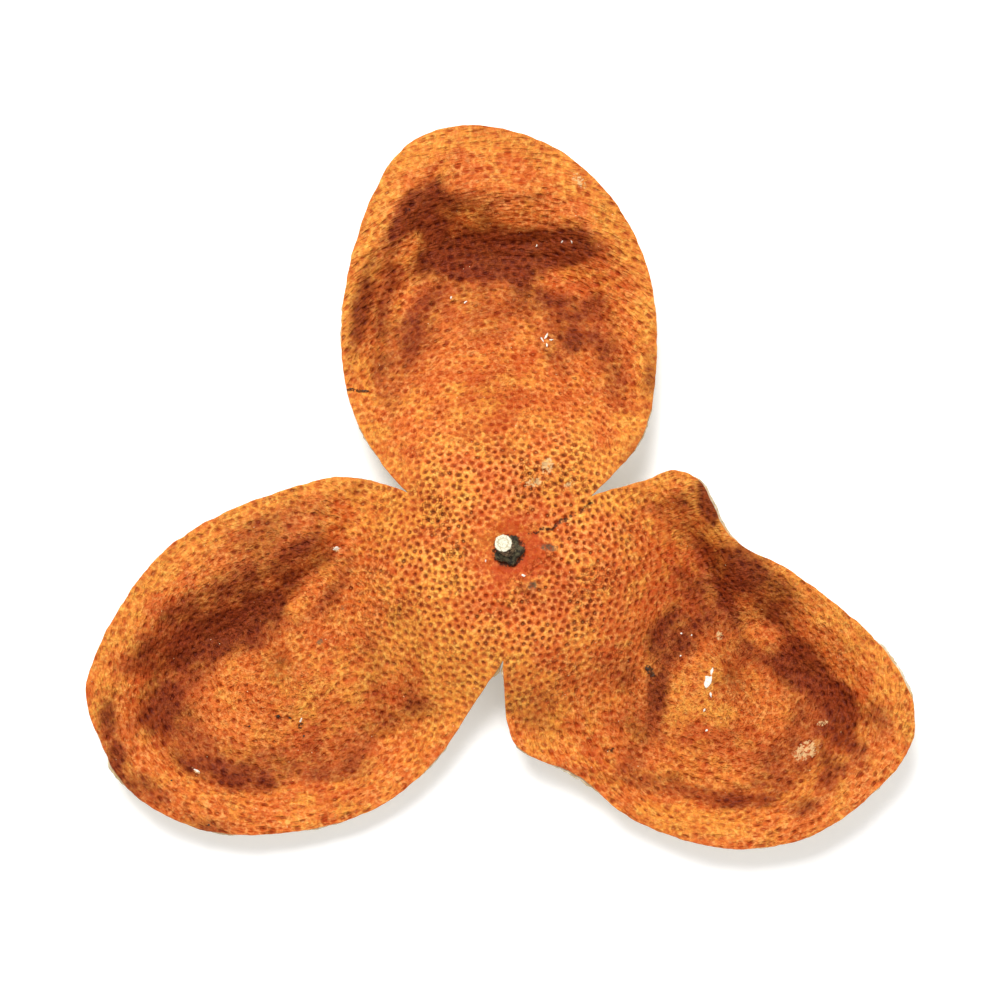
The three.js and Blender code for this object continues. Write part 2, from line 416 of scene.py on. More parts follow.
    def inside(self, x: np.ndarray, y: np.ndarray) -> np.ndarray:
        """Whether each place is within the outline, which no ray from the stem crosses twice.

        Args:
            x: places in mm.
            y: places in mm.

        Returns:
            True or false for each place.
        """
        angles = np.arctan2(self.outline[:, 1], self.outline[:, 0])
        order = np.argsort(angles)
        radii = np.hypot(self.outline[:, 0], self.outline[:, 1])
        limit = np.interp(np.arctan2(y, x), angles[order], radii[order], period=2 * math.pi)
        return np.hypot(x, y) < limit

    def within(self, points: np.ndarray, margin: float) -> np.ndarray:
        """The points inside the outline that keep a margin from it.

        Args:
            points: rows of x and y.
            margin: how far in mm.

        Returns:
            Those of the points.
        """
        points = points[self.inside(points[:, 0], points[:, 1])]
        return points[self.edge(points[:, 0], points[:, 1]) > margin]

    def away_from_notches(self, points: np.ndarray) -> np.ndarray:
        """How far each point is from the nearest notch."""
        return np.min([np.hypot(*(points - notch).T) for notch in self.notches], axis=0)


# ---- relief --------------------------------------------------------------------------------------


@dataclass(frozen=True)
class Crease:
    """A narrow furrow from one place to another, with a wavering course."""

    start: tuple[float, float]
    end: tuple[float, float]
    width: float
    depth: float
    waver: float = 0.35

    def share(self, x: np.ndarray, y: np.ndarray) -> np.ndarray:
        """How much of the furrow's depth each place has, from 0 to 1.

        Args:
            x: places in mm.
            y: places in mm.

        Returns:
            One value for each place.
        """
        ax, ay = self.start
        length = math.hypot(self.end[0] - ax, self.end[1] - ay)
        direction = math.degrees(math.atan2(self.end[1] - ay, self.end[0] - ax))
        along, across = turned(x - ax, y - ay, direction)
        across = across + self.waver * Grain(1.7, 71).at(along, np.zeros_like(along) + ax)
        ends = ease(-0.12 * length, 0.12 * length, along)
        ends = ends * (1.0 - ease(0.75 * length, 1.1 * length, along))
        return ends * np.exp(-((across / self.width) ** 2))

    def height(self, x: np.ndarray, y: np.ndarray) -> np.ndarray:
        """The furrow's height, which is negative."""
        return -self.depth * self.share(x, y)


@dataclass(frozen=True)
class Ripples:
    """A patch of parallel wrinkles with wavering crests."""

    at: tuple[float, float]
    towards: float
    length: float
    width: float
    spacing: float
    rise: float

    def height(self, x: np.ndarray, y: np.ndarray) -> np.ndarray:
        """The wrinkles' height.

        Args:
            x: places in mm.
            y: places in mm.

        Returns:
            One height for each place.
        """
        along, across = turned(x - self.at[0], y - self.at[1], self.towards)
        window = np.exp(-((along / self.length) ** 2) - (across / self.width) ** 2)
        bent = across + 0.9 * Grain(4.5, 33, 2).at(along, across)
        strength = 0.65 + 0.6 * Grain(3.0, 34).at(along, across)
        return self.rise * window * strength * np.sin(2 * math.pi * bent / self.spacing)


@dataclass(frozen=True)
class Swell:
    """A rounded rise, or a dent where its rise is negative."""

    at: tuple[float, float]
    towards: float
    length: float
    width: float
    rise: float

    def height(self, x: np.ndarray, y: np.ndarray) -> np.ndarray:
        """The rise's height."""
        along, across = turned(x - self.at[0], y - self.at[1], self.towards)
        return self.rise * np.exp(-((along / self.length) ** 2) - (across / self.width) ** 2)


@dataclass(frozen=True)
class Grainway:
    """The way that the fine wrinkles run over the peel, blended between places where it is known."""

    reach: float = 9.0
    known: tuple[tuple[float, float, float], ...] = (
        (0.0, 52.0, 2.0),
        (-14.0, 48.0, 48.0),
        (14.0, 46.0, -38.0),
        (0.0, 40.0, 0.0),
        (-17.0, 36.0, 38.0),
        (17.0, 34.0, -25.0),
        (-1.0, 27.0, 0.0),
        (-19.0, 22.0, 20.0),
        (20.0, 18.0, -20.0),
        (-22.0, 4.0, 12.0),
        (-38.0, -2.0, 32.0),
        (-54.0, -16.0, 66.0),
        (-40.0, -13.0, 34.0),
        (-28.0, -12.0, 30.0),
        (-44.0, -30.0, -50.0),
        (-32.0, -32.0, -8.0),
        (-18.0, -28.0, 22.0),
        (-15.0, -12.0, -40.0),
        (24.0, 5.0, -62.0),
        (36.0, -6.0, -38.0),
        (52.0, -20.0, -56.0),
        (46.0, -34.0, 40.0),
        (30.0, -34.0, -12.0),
        (15.0, -30.0, -35.0),
        (13.0, -12.0, 60.0),
        (28.0, -18.0, -40.0),
    )

    def direction(self, x: np.ndarray, y: np.ndarray) -> tuple[np.ndarray, np.ndarray]:
        """The unit direction along the wrinkles at the given places.

        Args:
            x: places in mm.
            y: places in mm.

        Returns:
            Its two parts.
        """
        c, s = np.zeros(np.shape(x)), np.zeros(np.shape(x))
        for px, py, degrees in self.known:
            weight = np.exp(-((x - px) ** 2 + (y - py) ** 2) / self.reach**2) + 1e-9
            c += weight * math.cos(math.radians(2.0 * degrees))
            s += weight * math.sin(math.radians(2.0 * degrees))
        angle = 0.5 * np.arctan2(s, c)
        return np.cos(angle), np.sin(angle)


@dataclass(frozen=True)
class Crepe:
    """The fine wrinkles of shrunken rind: short crests that run along the grain's way."""

    grainway: Grainway = Grainway()
    spacing: float = 1.0
    stride: float = 0.22
    strides: int = 4
    seed: int = 15

    def amount(self, form: PeelForm, x: np.ndarray, y: np.ndarray) -> np.ndarray:
        """How wrinkled each place is: hardly on the dome, fully on the petals and their rims.

        Args:
            form: the peel's form.
            x: places in mm.
            y: places in mm.

        Returns:
            From 0 to 1 for each place.
        """
        radius = np.hypot(x, y)
        patchy = 0.18 * Grain(9.0, 16, 2).at(x, y)
        floor = ease(0.4, 1.4, form.rind.at(x, y) - form.broad.at(x, y) + 0.6)
        base = ease(9.0, 27.0, radius + 4.0 * patchy)
        return np.clip(base * (0.82 + 0.18 * floor + patchy), 0.0, 1.0)

    def crests(self, x: np.ndarray, y: np.ndarray, amount: np.ndarray) -> np.ndarray:
        """The wrinkles' height from about -1 to 1, smeared along the grain's way.

        Args:
            x: places in mm.
            y: places in mm.
            amount: how wrinkled each place is, which lengthens its wrinkles.

        Returns:
            One value for each place.
        """
        source = Grain(self.spacing, self.seed)
        total = source.at(x, y)
        weight = 1.0
        for sense in (-1.0, 1.0):
            px, py = x, y
            for index in range(self.strides):
                dx, dy = self.grainway.direction(px, py)
                length = sense * self.stride * (0.25 + amount)
                px, py = px + dx * length, py + dy * length
                share = 1.0 - (index + 0.5) / (self.strides + 1.0)
                total = total + share * source.at(px, py)
                weight += share
        return total / weight


@dataclass(frozen=True)
class Relief:
    """All that drying has done to the rind, finer than the construction's form."""

    crumple_near_stem: float = 0.05
    crumple_far: float = 0.30
    crepe_rise: float = 0.20
    furrow_rise: float = 0.10
    creases: tuple[Crease, ...] = (
        Crease((12.3, 7.2), (6.4, 3.4), 0.30, 0.28, 0.6),
        Crease((8.4, 4.5), (2.2, 1.8), 0.34, 0.28, 0.5),
        Crease((-5.4, 4.8), (-2.7, 2.8), 0.36, 0.22),
        Crease((22.5, -31.4), (35.5, -33.8), 0.7, 0.45),
        Crease((13.0, -30.6), (27.5, -38.4), 0.8, 0.4),
        Crease((-9.0, 49.5), (8.5, 46.2), 0.8, 0.4),
        Crease((8.0, 46.6), (14.5, 45.6), 0.7, 0.3),
    )
    ripples: tuple[Ripples, ...] = (
        Ripples((-1.0, 35.0), 4.0, 10.0, 6.5, 1.6, 0.15),
        Ripples((-1.0, 45.5), -4.0, 11.0, 3.6, 2.4, 0.22),
        Ripples((-15.5, 34.0), 38.0, 8.0, 7.5, 2.0, 0.13),
        Ripples((15.5, 33.0), 155.0, 6.0, 8.0, 2.1, 0.10),
        Ripples((-30.0, -2.0), 30.0, 12.0, 5.0, 2.2, 0.13),
        Ripples((27.0, -2.0), -48.0, 7.0, 4.0, 1.9, 0.12),
        Ripples((45.0, -14.0), -40.0, 9.0, 4.0, 2.0, 0.12),
        Ripples((14.0, -9.0), 52.0, 6.0, 5.0, 2.0, 0.07),
    )
    swells: tuple[Swell, ...] = (
        Swell((-2.0, 53.0), 176.0, 9.0, 2.2, 0.35),
        Swell((20.5, -13.0), 60.0, 4.5, 2.4, -0.5),
        Swell((-25.0, -7.0), 50.0, 6.0, 2.2, -0.4),
    )

    def height(self, x: np.ndarray, y: np.ndarray) -> np.ndarray:
        """The relief's height, without the fine wrinkles.

        Args:
            x: places in mm.
            y: places in mm.

        Returns:
            One height for each place.
        """
        radius = np.hypot(x, y)
        far = ease(8.0, 34.0, radius)
        crumple = self.crumple_near_stem + (self.crumple_far - self.crumple_near_stem) * far
        total = crumple * Grain(6.0, 11, 3).at(x, y)
        angle = np.arctan2(y, x)
        ring = ease(1.8, 3.6, radius) * (1.0 - ease(5.5, 10.5, radius))
        rays = np.cos(9.0 * angle + 2.2 * Grain(2.0, 13).at(angle * 2.0, radius * 0.35))
        total += ring * (self.furrow_rise * rays + 0.12 * Grain(1.6, 14, 2).at(x, y))
        for feature in (*self.creases, *self.ripples, *self.swells):
            total += feature.height(x, y)
        return total


class Surface:
    """The rind's surface with all its relief, worked out once on a fine grid."""

    PITCH = 0.2
    BED_SMOOTHING = 0.7
    LEAST_TILT = 0.35

    def __init__(self, form: PeelForm, relief: Relief, crepe: Crepe) -> None:
        """Works the grids out.

        Args:
            form: the peel's form.
            relief: the larger relief.
            crepe: the fine wrinkles.
        """
        self.form = form
        self.relief = relief
        self.crepe = crepe
        xs = np.arange(form.low[0], form.high[0], self.PITCH)
        ys = np.arange(form.low[1], form.high[1], self.PITCH)
        x, y = np.meshgrid(xs, ys)
        amount = crepe.amount(form, x, y)
        crests = crepe.crests(x, y, amount)
        crests /= 2.0 * crests.std()
        height = form.rind.at(x, y) + relief.height(x, y) + relief.crepe_rise * amount * crests
        self.amount = SmoothMap(form.low, self.PITCH, amount)
        self.crests = SmoothMap(form.low, self.PITCH, crests)
        self.height = SmoothMap(form.low, self.PITCH, height)
        lowest = SmoothMap(form.low, self.PITCH, height - relief.crepe_rise * amount)
        self.bed = lowest.blurred(self.BED_SMOOTHING)

    def points(self, x: np.ndarray, y: np.ndarray) -> np.ndarray:
        """The points of the surface over the given places."""
        return np.stack([x, y, self.height.at(x, y)], axis=1)

    def under(self, x: np.ndarray, y: np.ndarray, depth: float) -> np.ndarray:
        """Points at a depth under the smoothed surface, measured square to it."""
        tilt = np.maximum(self.form.normals(x, y)[:, 2], self.LEAST_TILT)
        return np.stack([x, y, self.bed.at(x, y) - depth / tilt], axis=1)


# ---- oil glands ----------------------------------------------------------------------------------


@dataclass(frozen=True)
class Glands:
    """The rind's oil glands: where they lie, how far apart, and how deep their pits have sunk."""

    pitch_at_stem: float = 1.18
    pitch_growth: float = 0.0060
    closest: float = 0.71
    smooth_radius: float = 4.6
    depth: float = 0.21
    fading: float = 0.6
    edge_margin: float = 0.3
    search_cell: float = 1.4
    tries: int = 200000
    seed: int = 20

    def pitch(self, x: np.ndarray, y: np.ndarray) -> np.ndarray:
        """The glands' spacing in mm."""
        return self.pitch_at_stem + self.pitch_growth * np.hypot(x, y)

    def scatter(self, form: PeelForm) -> np.ndarray:
        """Chooses the glands' places, none closer along the surface than their spacing allows.

        Args:
            form: the peel's form.

        Returns:
            The places as rows of x and y.
        """
        rng = np.random.default_rng(self.seed)
        span = form.high - form.low
        places = form.low + rng.random((self.tries, 2)) * span
        places = form.within(places, self.edge_margin)
        heights = form.rind.at(places[:, 0], places[:, 1])
        apart = self.closest * self.pitch(places[:, 0], places[:, 1])
        columns: dict[tuple[int, int], list[int]] = {}
        chosen: list[int] = []
        rows = list(zip(places[:, 0].tolist(), places[:, 1].tolist(), heights.tolist()))
        reach = (apart**2).tolist()
        for index, (x, y, z) in enumerate(rows):
            i, j = int(x // self.search_cell), int(y // self.search_cell)
            around = [(i + a, j + b) for a in (-1, 0, 1) for b in (-1, 0, 1)]
            near = [k for cell in around for k in columns.get(cell, ())]
            if all(self._apart(rows[k], (x, y, z)) > reach[index] for k in near):
                chosen.append(index)
                columns.setdefault((i, j), []).append(index)
        return places[chosen]

    @staticmethod
    def _apart(a: tuple[float, float, float], b: tuple[float, float, float]) -> float:
        """The square of the distance between two places."""
        return (a[0] - b[0]) ** 2 + (a[1] - b[1]) ** 2 + (a[2] - b[2]) ** 2


# ---- meshes --------------------------------------------------------------------------------------


def patch(outline: np.ndarray, inner: np.ndarray) -> tuple[np.ndarray, np.ndarray]:
    """Triangulates the inside of an outline through given inner points.

    Args:
        outline: a closed counterclockwise line of x and y.
        inner: the points within it.

    Returns:
        All the points, the outline first, and the triangles, counterclockwise.
    """
    points = np.concatenate([outline, inner])
    loop = list(range(len(outline)))
    made = delaunay_2d_cdt([Vector(p) for p in points.tolist()], [], [loop], 1, 1e-7, True)
    source = np.array([ids[0] if ids else -1 for ids in made[3]])
    within = [tuple(face) for face, loops in zip(made[2], made[5]) if loops]
    faces = source[np.array(within)]
    if (faces < 0).any():
        raise ValueError("the outline crosses itself")
    a, b, c = (points[faces[:, k]] for k in range(3))
    area = (b[:, 0] - a[:, 0]) * (c[:, 1] - a[:, 1]) - (b[:, 1] - a[:, 1]) * (c[:, 0] - a[:, 0])
    faces[area < 0] = faces[area < 0][:, ::-1]
    return points, faces


def closed_shell(
    upper: tuple[np.ndarray, np.ndarray],
    rings: Sequence[np.ndarray],
    lower: tuple[np.ndarray, np.ndarray],
    edge_count: int,
) -> tuple[np.ndarray, np.ndarray]:
    """Joins an upper and a lower patch by a wall of rings between their outlines.

    Args:
        upper: its points in space and its triangles, seen from above.
        rings: the wall's loops from the upper outline to the lower one, without these two.
        lower: its points in space and its triangles, seen from above too.
        edge_count: how many points each loop has.

    Returns:
        The points and triangles of the closed shell, facing out.
    """
    upper_points, upper_faces = upper
    lower_points, lower_faces = lower
    points = [upper_points, *rings, lower_points]
    starts = np.cumsum([0] + [len(p) for p in points])
    loops = [np.arange(edge_count) + start for start in starts[:-1]]
    faces = [upper_faces, lower_faces[:, ::-1] + starts[-2]]
    for above, below in zip(loops, loops[1:]):
        above_next, below_next = np.roll(above, -1), np.roll(below, -1)
        faces.append(np.stack([above, below, below_next], axis=1))
        faces.append(np.stack([above, below_next, above_next], axis=1))
    return np.concatenate(points), np.concatenate(faces)


def hex_points(low: np.ndarray, high: np.ndarray, step: float) -> np.ndarray:
    """An even triangular grid of points over a rectangle.

    Args:
        low: its lowest corner.
        high: its highest corner.
        step: the points' spacing.

    Returns:
        The points.
    """
    rows = np.arange(low[1], high[1], step * math.sqrt(0.75))
    lines = []
    for index, y in enumerate(rows):
        x = np.arange(low[0] + (index % 2) * step / 2.0, high[0], step)
        lines.append(np.stack([x, np.full_like(x, y)], axis=1))
    return np.concatenate(lines)


def outward(loop: np.ndarray) -> np.ndarray:
    """The directions out of a closed counterclockwise line, smoothed over its neighbours.

    Args:
        loop: the line's points.

    Returns:
        A unit vector for each point.
    """
    along = np.roll(loop, -2, axis=0) - np.roll(loop, 2, axis=0)
    square = np.stack([along[:, 1], -along[:, 0]], axis=1)
    return square / np.maximum(np.linalg.norm(square, axis=1, keepdims=True), 1e-9)


def level_outward(loop: np.ndarray) -> np.ndarray:
    """The same directions in space, all of them level."""
    return np.concatenate([outward(loop), np.zeros((len(loop), 1))], axis=1)


def new_mesh(
    name: str,
    points: np.ndarray,
    faces: Iterable[Sequence[int]],
    stem: np.ndarray,
) -> bpy.types.Mesh:
    """Makes a smooth mesh in the construction's frame.

    Args:
        name: its name.
        points: its points, in mm from the stem.
        faces: its faces.
        stem: the stem's place, in mm.

    Returns:
        The mesh, in metres.
    """
    mesh = bpy.data.meshes.new(name)
    placed = (np.asarray(points) + stem) * MM
    mesh.from_pydata(placed.tolist(), [], [tuple(map(int, face)) for face in faces])
    mesh.polygons.foreach_set("use_smooth", [True] * len(mesh.polygons))
    mesh.update()
    return mesh


def point_values(mesh: bpy.types.Mesh, name: str, values: np.ndarray) -> None:
    """Stores one number for each vertex under a name that a material can read."""
    layer = mesh.attributes.new(name, "FLOAT", "POINT")
    layer.data.foreach_set("value", np.asarray(values, dtype=np.float32))


def new_piece(mesh: bpy.types.Mesh, material: bpy.types.Material) -> bpy.types.Object:
    """Puts a mesh in the scene as a piece of the object, dressed and riding on the body.

    Args:
        mesh: its mesh, whose name it takes.
        material: what it wears.

    Returns:
        The piece.
    """
    piece = bpy.data.objects.new(mesh.name, mesh)
    bpy.context.scene.collection.objects.link(piece)
    if not mesh.materials:
        mesh.materials.append(material)
    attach(piece, BODY)
    log.info("%s: %d vertices, %d faces", piece.name, len(mesh.vertices), len(mesh.polygons))
    return piece


class Nodes:
    """A node tree that is built by short calls."""

    def __init__(self, tree: bpy.types.NodeTree) -> None:
        """Keeps the tree."""
        self.tree = tree

    def feed(self, socket: Socket, value: Feed) -> None:
        """Links an input to a socket, or sets its value.

        Args:
            socket: the input.
            value: another node's output, a number, a word, a material, or a vector or colour.
        """
        if isinstance(value, bpy.types.NodeSocket):
            self.tree.links.new(value, socket)
        elif isinstance(value, tuple) and len(value) < len(socket.default_value):
            socket.default_value = (*value, 1.0)
        else:
            socket.default_value = value

    def node(self, kind: str, inputs: dict[Key, Feed], **settings: Setting) -> bpy.types.NodeOutputs:
        """Adds a node.

        Args:
            kind: its type.
            inputs: what each of its inputs is fed with.
            settings: its own settings, made before its inputs are fed.

        Returns:
            Its outputs.
        """
        made = self.tree.nodes.new(kind)
        for key, value in settings.items():
            setattr(made, key, value)
        for key, value in inputs.items():
            self.feed(made.inputs[key], value)
        return made.outputs


class Growth(Nodes):
    """A Geometry Nodes tree with named inputs that grows a piece out of another mesh."""

    def __init__(self, name: str, inputs: dict[str, str]) -> None:
        """Starts a tree that takes a geometry and some numbers.

        Args:
            name: the tree's name.
            inputs: each number's name and its type of socket.
        """
        super().__init__(bpy.data.node_groups.new(name, "GeometryNodeTree"))
        face = self.tree.interface
        face.new_socket("Geometry", in_out="INPUT", socket_type="NodeSocketGeometry")
        for label, kind in inputs.items():
            face.new_socket(label, in_out="INPUT", socket_type=kind)
        face.new_socket("Geometry", in_out="OUTPUT", socket_type="NodeSocketGeometry")
        items = [item for item in face.items_tree if item.in_out == "INPUT"]
        self.sockets = {item.name: item.identifier for item in items}
        self.given = self.node("NodeGroupInput", {})

    def grow(
        self,
        source: bpy.types.Mesh,
        shape: Socket,
        material: bpy.types.Material,
        values: dict[str, float],
    ) -> bpy.types.Mesh:
        """Ends the tree in real geometry that wears a material, and runs it on a mesh.

        Args:
            source: the mesh to grow from.
            shape: the geometry that the tree has made.
            material: what it wears.
            values: the tree's numbers by name.

        Returns:
            A plain mesh without a material slot.
        """
        real = self.node("GeometryNodeRealizeInstances", {0: shape})[0]
        dressed = self.node("GeometryNodeSetMaterial", {"Geometry": real, "Material": material})[0]
        self.node("NodeGroupOutput", {0: dressed})
        holder = bpy.data.objects.new(self.tree.name, source)
        bpy.context.scene.collection.objects.link(holder)
        modifier = holder.modifiers.new(self.tree.name, "NODES")
        modifier.node_group = self.tree
        for key, value in values.items():
            modifier[self.sockets[key]] = value
        ready = holder.evaluated_get(bpy.context.evaluated_depsgraph_get())
        mesh = bpy.data.meshes.new_from_object(ready)
        bpy.data.objects.remove(holder)
        mesh.materials.clear()
        return mesh


# ---- materials -----------------------------------------------------------------------------------


def per_mm(size: float) -> float:
    """The texture scale at which a pattern's features are as large as this, in mm."""
    return 1.0 / (size * MM)


class Sketch(Nodes):
    """A material's node tree. Its patterns and sums are sockets."""

    def __init__(self, name: str) -> None:
        """Starts an empty material with a Principled shader.

        Args:
            name: the material's name.
        """
        self.material = bpy.data.materials.new(name)
        self.material.use_nodes = True
        super().__init__(self.material.node_tree)
        self.tree.nodes.clear()
        self.shader = self.tree.nodes.new("ShaderNodeBsdfPrincipled")
        self.node("ShaderNodeOutputMaterial", {"Surface": self.shader.outputs[0]})
        self.place = self.node("ShaderNodeTexCoord", {})["Object"]

    def noise(
        self,
        size: float,
        detail: float = 2.0,
        rough: float = 0.5,
        at: Optional[Socket] = None,
    ) -> Socket:
        """A noise pattern with features of a size in mm, from 0 to 1."""
        look = {"Scale": per_mm(size), "Detail": detail, "Roughness": rough}
        return self.node("ShaderNodeTexNoise", {"Vector": at or self.place, **look})["Fac"]

    def cells(self, size: float) -> Socket:
        """The distance from the walls of a cell pattern whose size is in mm."""
        inputs = {"Vector": self.place, "Scale": per_mm(size)}
        return self.node("ShaderNodeTexVoronoi", inputs, feature="DISTANCE_TO_EDGE")["Distance"]

    def value(self, name: str) -> Socket:
        """The number that the mesh stores under a name."""
        return self.node("ShaderNodeAttribute", {}, attribute_name=name)["Fac"]

    def channels(self, name: str) -> Sequence[Socket]:
        """The three numbers that the mesh stores under a name."""
        stored = self.node("ShaderNodeAttribute", {}, attribute_name=name)["Vector"]
        return tuple(self.node("ShaderNodeSeparateXYZ", {0: stored}))

    def chart(self, name: str) -> Socket:
        """A UV map by its name."""
        return self.node("ShaderNodeUVMap", {}, uv_map=name)["UV"]

    def length(self, vector: Socket) -> Socket:
        """How long a vector is."""
        return self.node("ShaderNodeVectorMath", {0: vector}, operation="LENGTH")["Value"]

    def stretched(self, vector: Socket, scale: Sequence[float]) -> Socket:
        """A vector with each part multiplied."""
        inputs = {0: vector, 1: scale}
        return self.node("ShaderNodeVectorMath", inputs, operation="MULTIPLY")["Vector"]

    def math(self, operation: str, a: Feed, b: Feed = 0.0, clamp: bool = False) -> Socket:
        """One sum of two numbers."""
        return self.node("ShaderNodeMath", {0: a, 1: b}, operation=operation, use_clamp=clamp)[0]

    def plus(self, a: Feed, b: Feed, clamp: bool = False) -> Socket:
        """One number added to another, kept from 0 to 1 where it is clamped."""
        return self.math("ADD", a, b, clamp)

    def minus(self, a: Feed, b: Feed) -> Socket:
        """One number less another."""
        return self.math("SUBTRACT", a, b)

    def times(self, a: Feed, b: Feed) -> Socket:
        """One number times another."""
        return self.math("MULTIPLY", a, b)

    def larger(self, a: Feed, b: Feed) -> Socket:
        """The larger of two numbers."""
        return self.math("MAXIMUM", a, b)

    def off(self, a: Feed, middle: float) -> Socket:
        """How far a number is from a middle value, either way."""
        return self.math("ABSOLUTE", self.minus(a, middle))

    def step(self, value: Socket, low: Feed, high: Feed, start: float = 0.0, end: float = 1.0) -> Socket:
        """Passes smoothly from start to end as the value goes from low to high."""
        inputs = {"Value": value, "From Min": low, "From Max": high, "To Min": start, "To Max": end}
        return self.node("ShaderNodeMapRange", inputs, interpolation_type="SMOOTHSTEP")["Result"]

    def mix(self, share: Feed, a: Feed, b: Feed) -> Socket:
        """Mixes two colours."""
        return self.node("ShaderNodeMix", {0: share, 6: a, 7: b}, data_type="RGBA")[2]

    def bump(self, height: Socket, depth: float, strength: float) -> Socket:
        """The normal of a relief whose depth is given in mm."""
        inputs = {"Height": height, "Distance": depth * MM, "Strength": strength}
        return self.node("ShaderNodeBump", inputs)["Normal"]

    def finish(
        self,
        color: Feed,
        roughness: Feed,
        normal: Optional[Socket] = None,
        specular: float = 0.5,
    ) -> bpy.types.Material:
        """Feeds the shader and returns the material.

        Args:
            color: the base colour.
            roughness: from 0 to 1.
            normal: the relief's normal.
            specular: the strength of the gloss.

        Returns:
            The material.
        """
        self.feed(self.shader.inputs["Base Color"], color)
        self.feed(self.shader.inputs["Roughness"], roughness)
        self.shader.inputs["Specular IOR Level"].default_value = specular
        if normal is not None:
            self.feed(self.shader.inputs["Normal"], normal)
        return self.material


class RindPattern:
    """The patterns that the rind's colour and relief are made of."""

    def __init__(self, s: Sketch) -> None:
        """Draws the patterns.

        Args:
            s: the rind's material.
        """
        self.chance, self.strength, self.shade = s.channels("gland_kind")
        self.fine = s.noise(0.20, 2.0, 0.6)
        self.broken = s.noise(0.45, 2.0, 0.6)
        self.drift = s.noise(3.4, 3.0, 0.6)
        self.crepe = s.value("crepe")
        self.calm = s.step(self.crepe, 0.0, 1.0, 1.0, 0.36)
        self._draw_pits(s)
        self._draw_folds(s)
        self._draw_ridges(s)
        self._draw_crinkles(s)
        self.gold = self._gold_and_light(s)

    def _draw_pits(self, s: Sketch) -> None:
        """Draws the glands' pits: how far from its middle a place is, its dent, and what shows of it.

        Args:
            s: the rind's material.
        """
        ragged = s.times(s.minus(self.broken, 0.5), 0.30)
        self.radius = s.plus(s.length(s.chart("gland")), ragged)
        dent = s.step(self.radius, 0.04, s.step(self.chance, 0.0, 1.0, 0.28, 0.42), 1.0, 0.0)
        shown = s.times(self.strength, s.step(self.crepe, 0.0, 1.0, 1.0, 0.22))
        self.sunken = s.times(dent, self.strength)
        self.pit = s.times(dent, shown)

    def _draw_folds(self, s: Sketch) -> None:
        """Draws the finest folds, which run round each petal's dish, the crests, and the painted shade
        in the valleys.

        Args:
            s: the rind's material.
        """
        self.folds = s.off(s.noise(0.85, 2.0, 0.6, s.stretched(s.chart("way"), (0.45, 1.0, 1.0))), 0.5)
        self.crest = s.plus(s.times(s.value("crest"), 0.55), s.step(self.folds, 0.0, 0.16, 1.0, -0.4))
        # Painted shade in the wrinkles' valleys.
        self.dark_and_valley_shade = s.times(self.crepe, s.step(self.crest, -0.7, 0.35, 1.0, 0.0))

    def _draw_ridges(self, s: Sketch) -> None:
        """Draws the web of ridges between the glands, with the wrinkles' crests painted light and
        painted highlights on the ridges.

        Args:
            s: the rind's material.
        """
        edge = s.plus(s.value("border"), s.times(s.minus(self.fine, 0.5), 0.5))
        web = s.times(s.step(edge, 0.05, 0.62, 1.0, 0.0), s.step(self.strength, 0.05, 0.5))
        web = s.times(web, s.step(self.crepe, 0.1, 1.0, 1.0, 0.7))
        # The web is the ridges' own paler colour; the wrinkles' crests are painted light.
        bright = s.larger(web, s.times(self.crepe, s.step(self.crest, 0.0, 1.15, 0.0, 0.8)))
        loose = s.step(s.noise(0.8, 3.0, 0.65), 0.47, 0.60, 0.0, 0.8)
        bright = s.larger(bright, s.times(s.step(self.strength, 0.0, 0.4, 1.0, 0.0), loose))
        self.bright = s.times(bright, s.step(self.broken, 0.32, 0.64, 0.4, 1.0))
        # Painted highlights on the ridges.
        self.ridge_highlight = s.times(self.bright, s.step(s.noise(0.75, 2.0, 0.6), 0.46, 0.62, 0.0, 0.75))

    def _draw_crinkles(self, s: Sketch) -> None:
        """Draws thin dark lines in patches, fewer where the wrinkles are.

        Args:
            s: the rind's material.
        """
        line = s.step(s.off(s.noise(1.5, 3.0, 0.7), 0.5), 0.0, 0.03, 1.0, 0.0)
        patches = s.step(s.noise(5.5, 2.0, 0.5), 0.46, 0.62, 0.0, 1.0)
        self.crinkle = s.times(s.times(line, patches), self.calm)

    def _gold_and_light(self, s: Sketch) -> Socket:
        """How yellow and light each place is: yellow tone and painted light where the paint says so,
        yellow in patches, and painted light where the painted shade channel is below 0.
        """
        yellow = s.plus(s.value(PaintChannel.GOLD_AND_LIGHT.value), s.step(self.drift, 0.38, 0.68, -0.3, 0.7))
        # Painted light where the painted shade channel is below 0.
        return s.plus(yellow, s.step(s.value(PaintChannel.PAINTED_SHADE_AND_LIGHT.value), -1.0, 0.0, 0.8, 0.0), clamp=True)


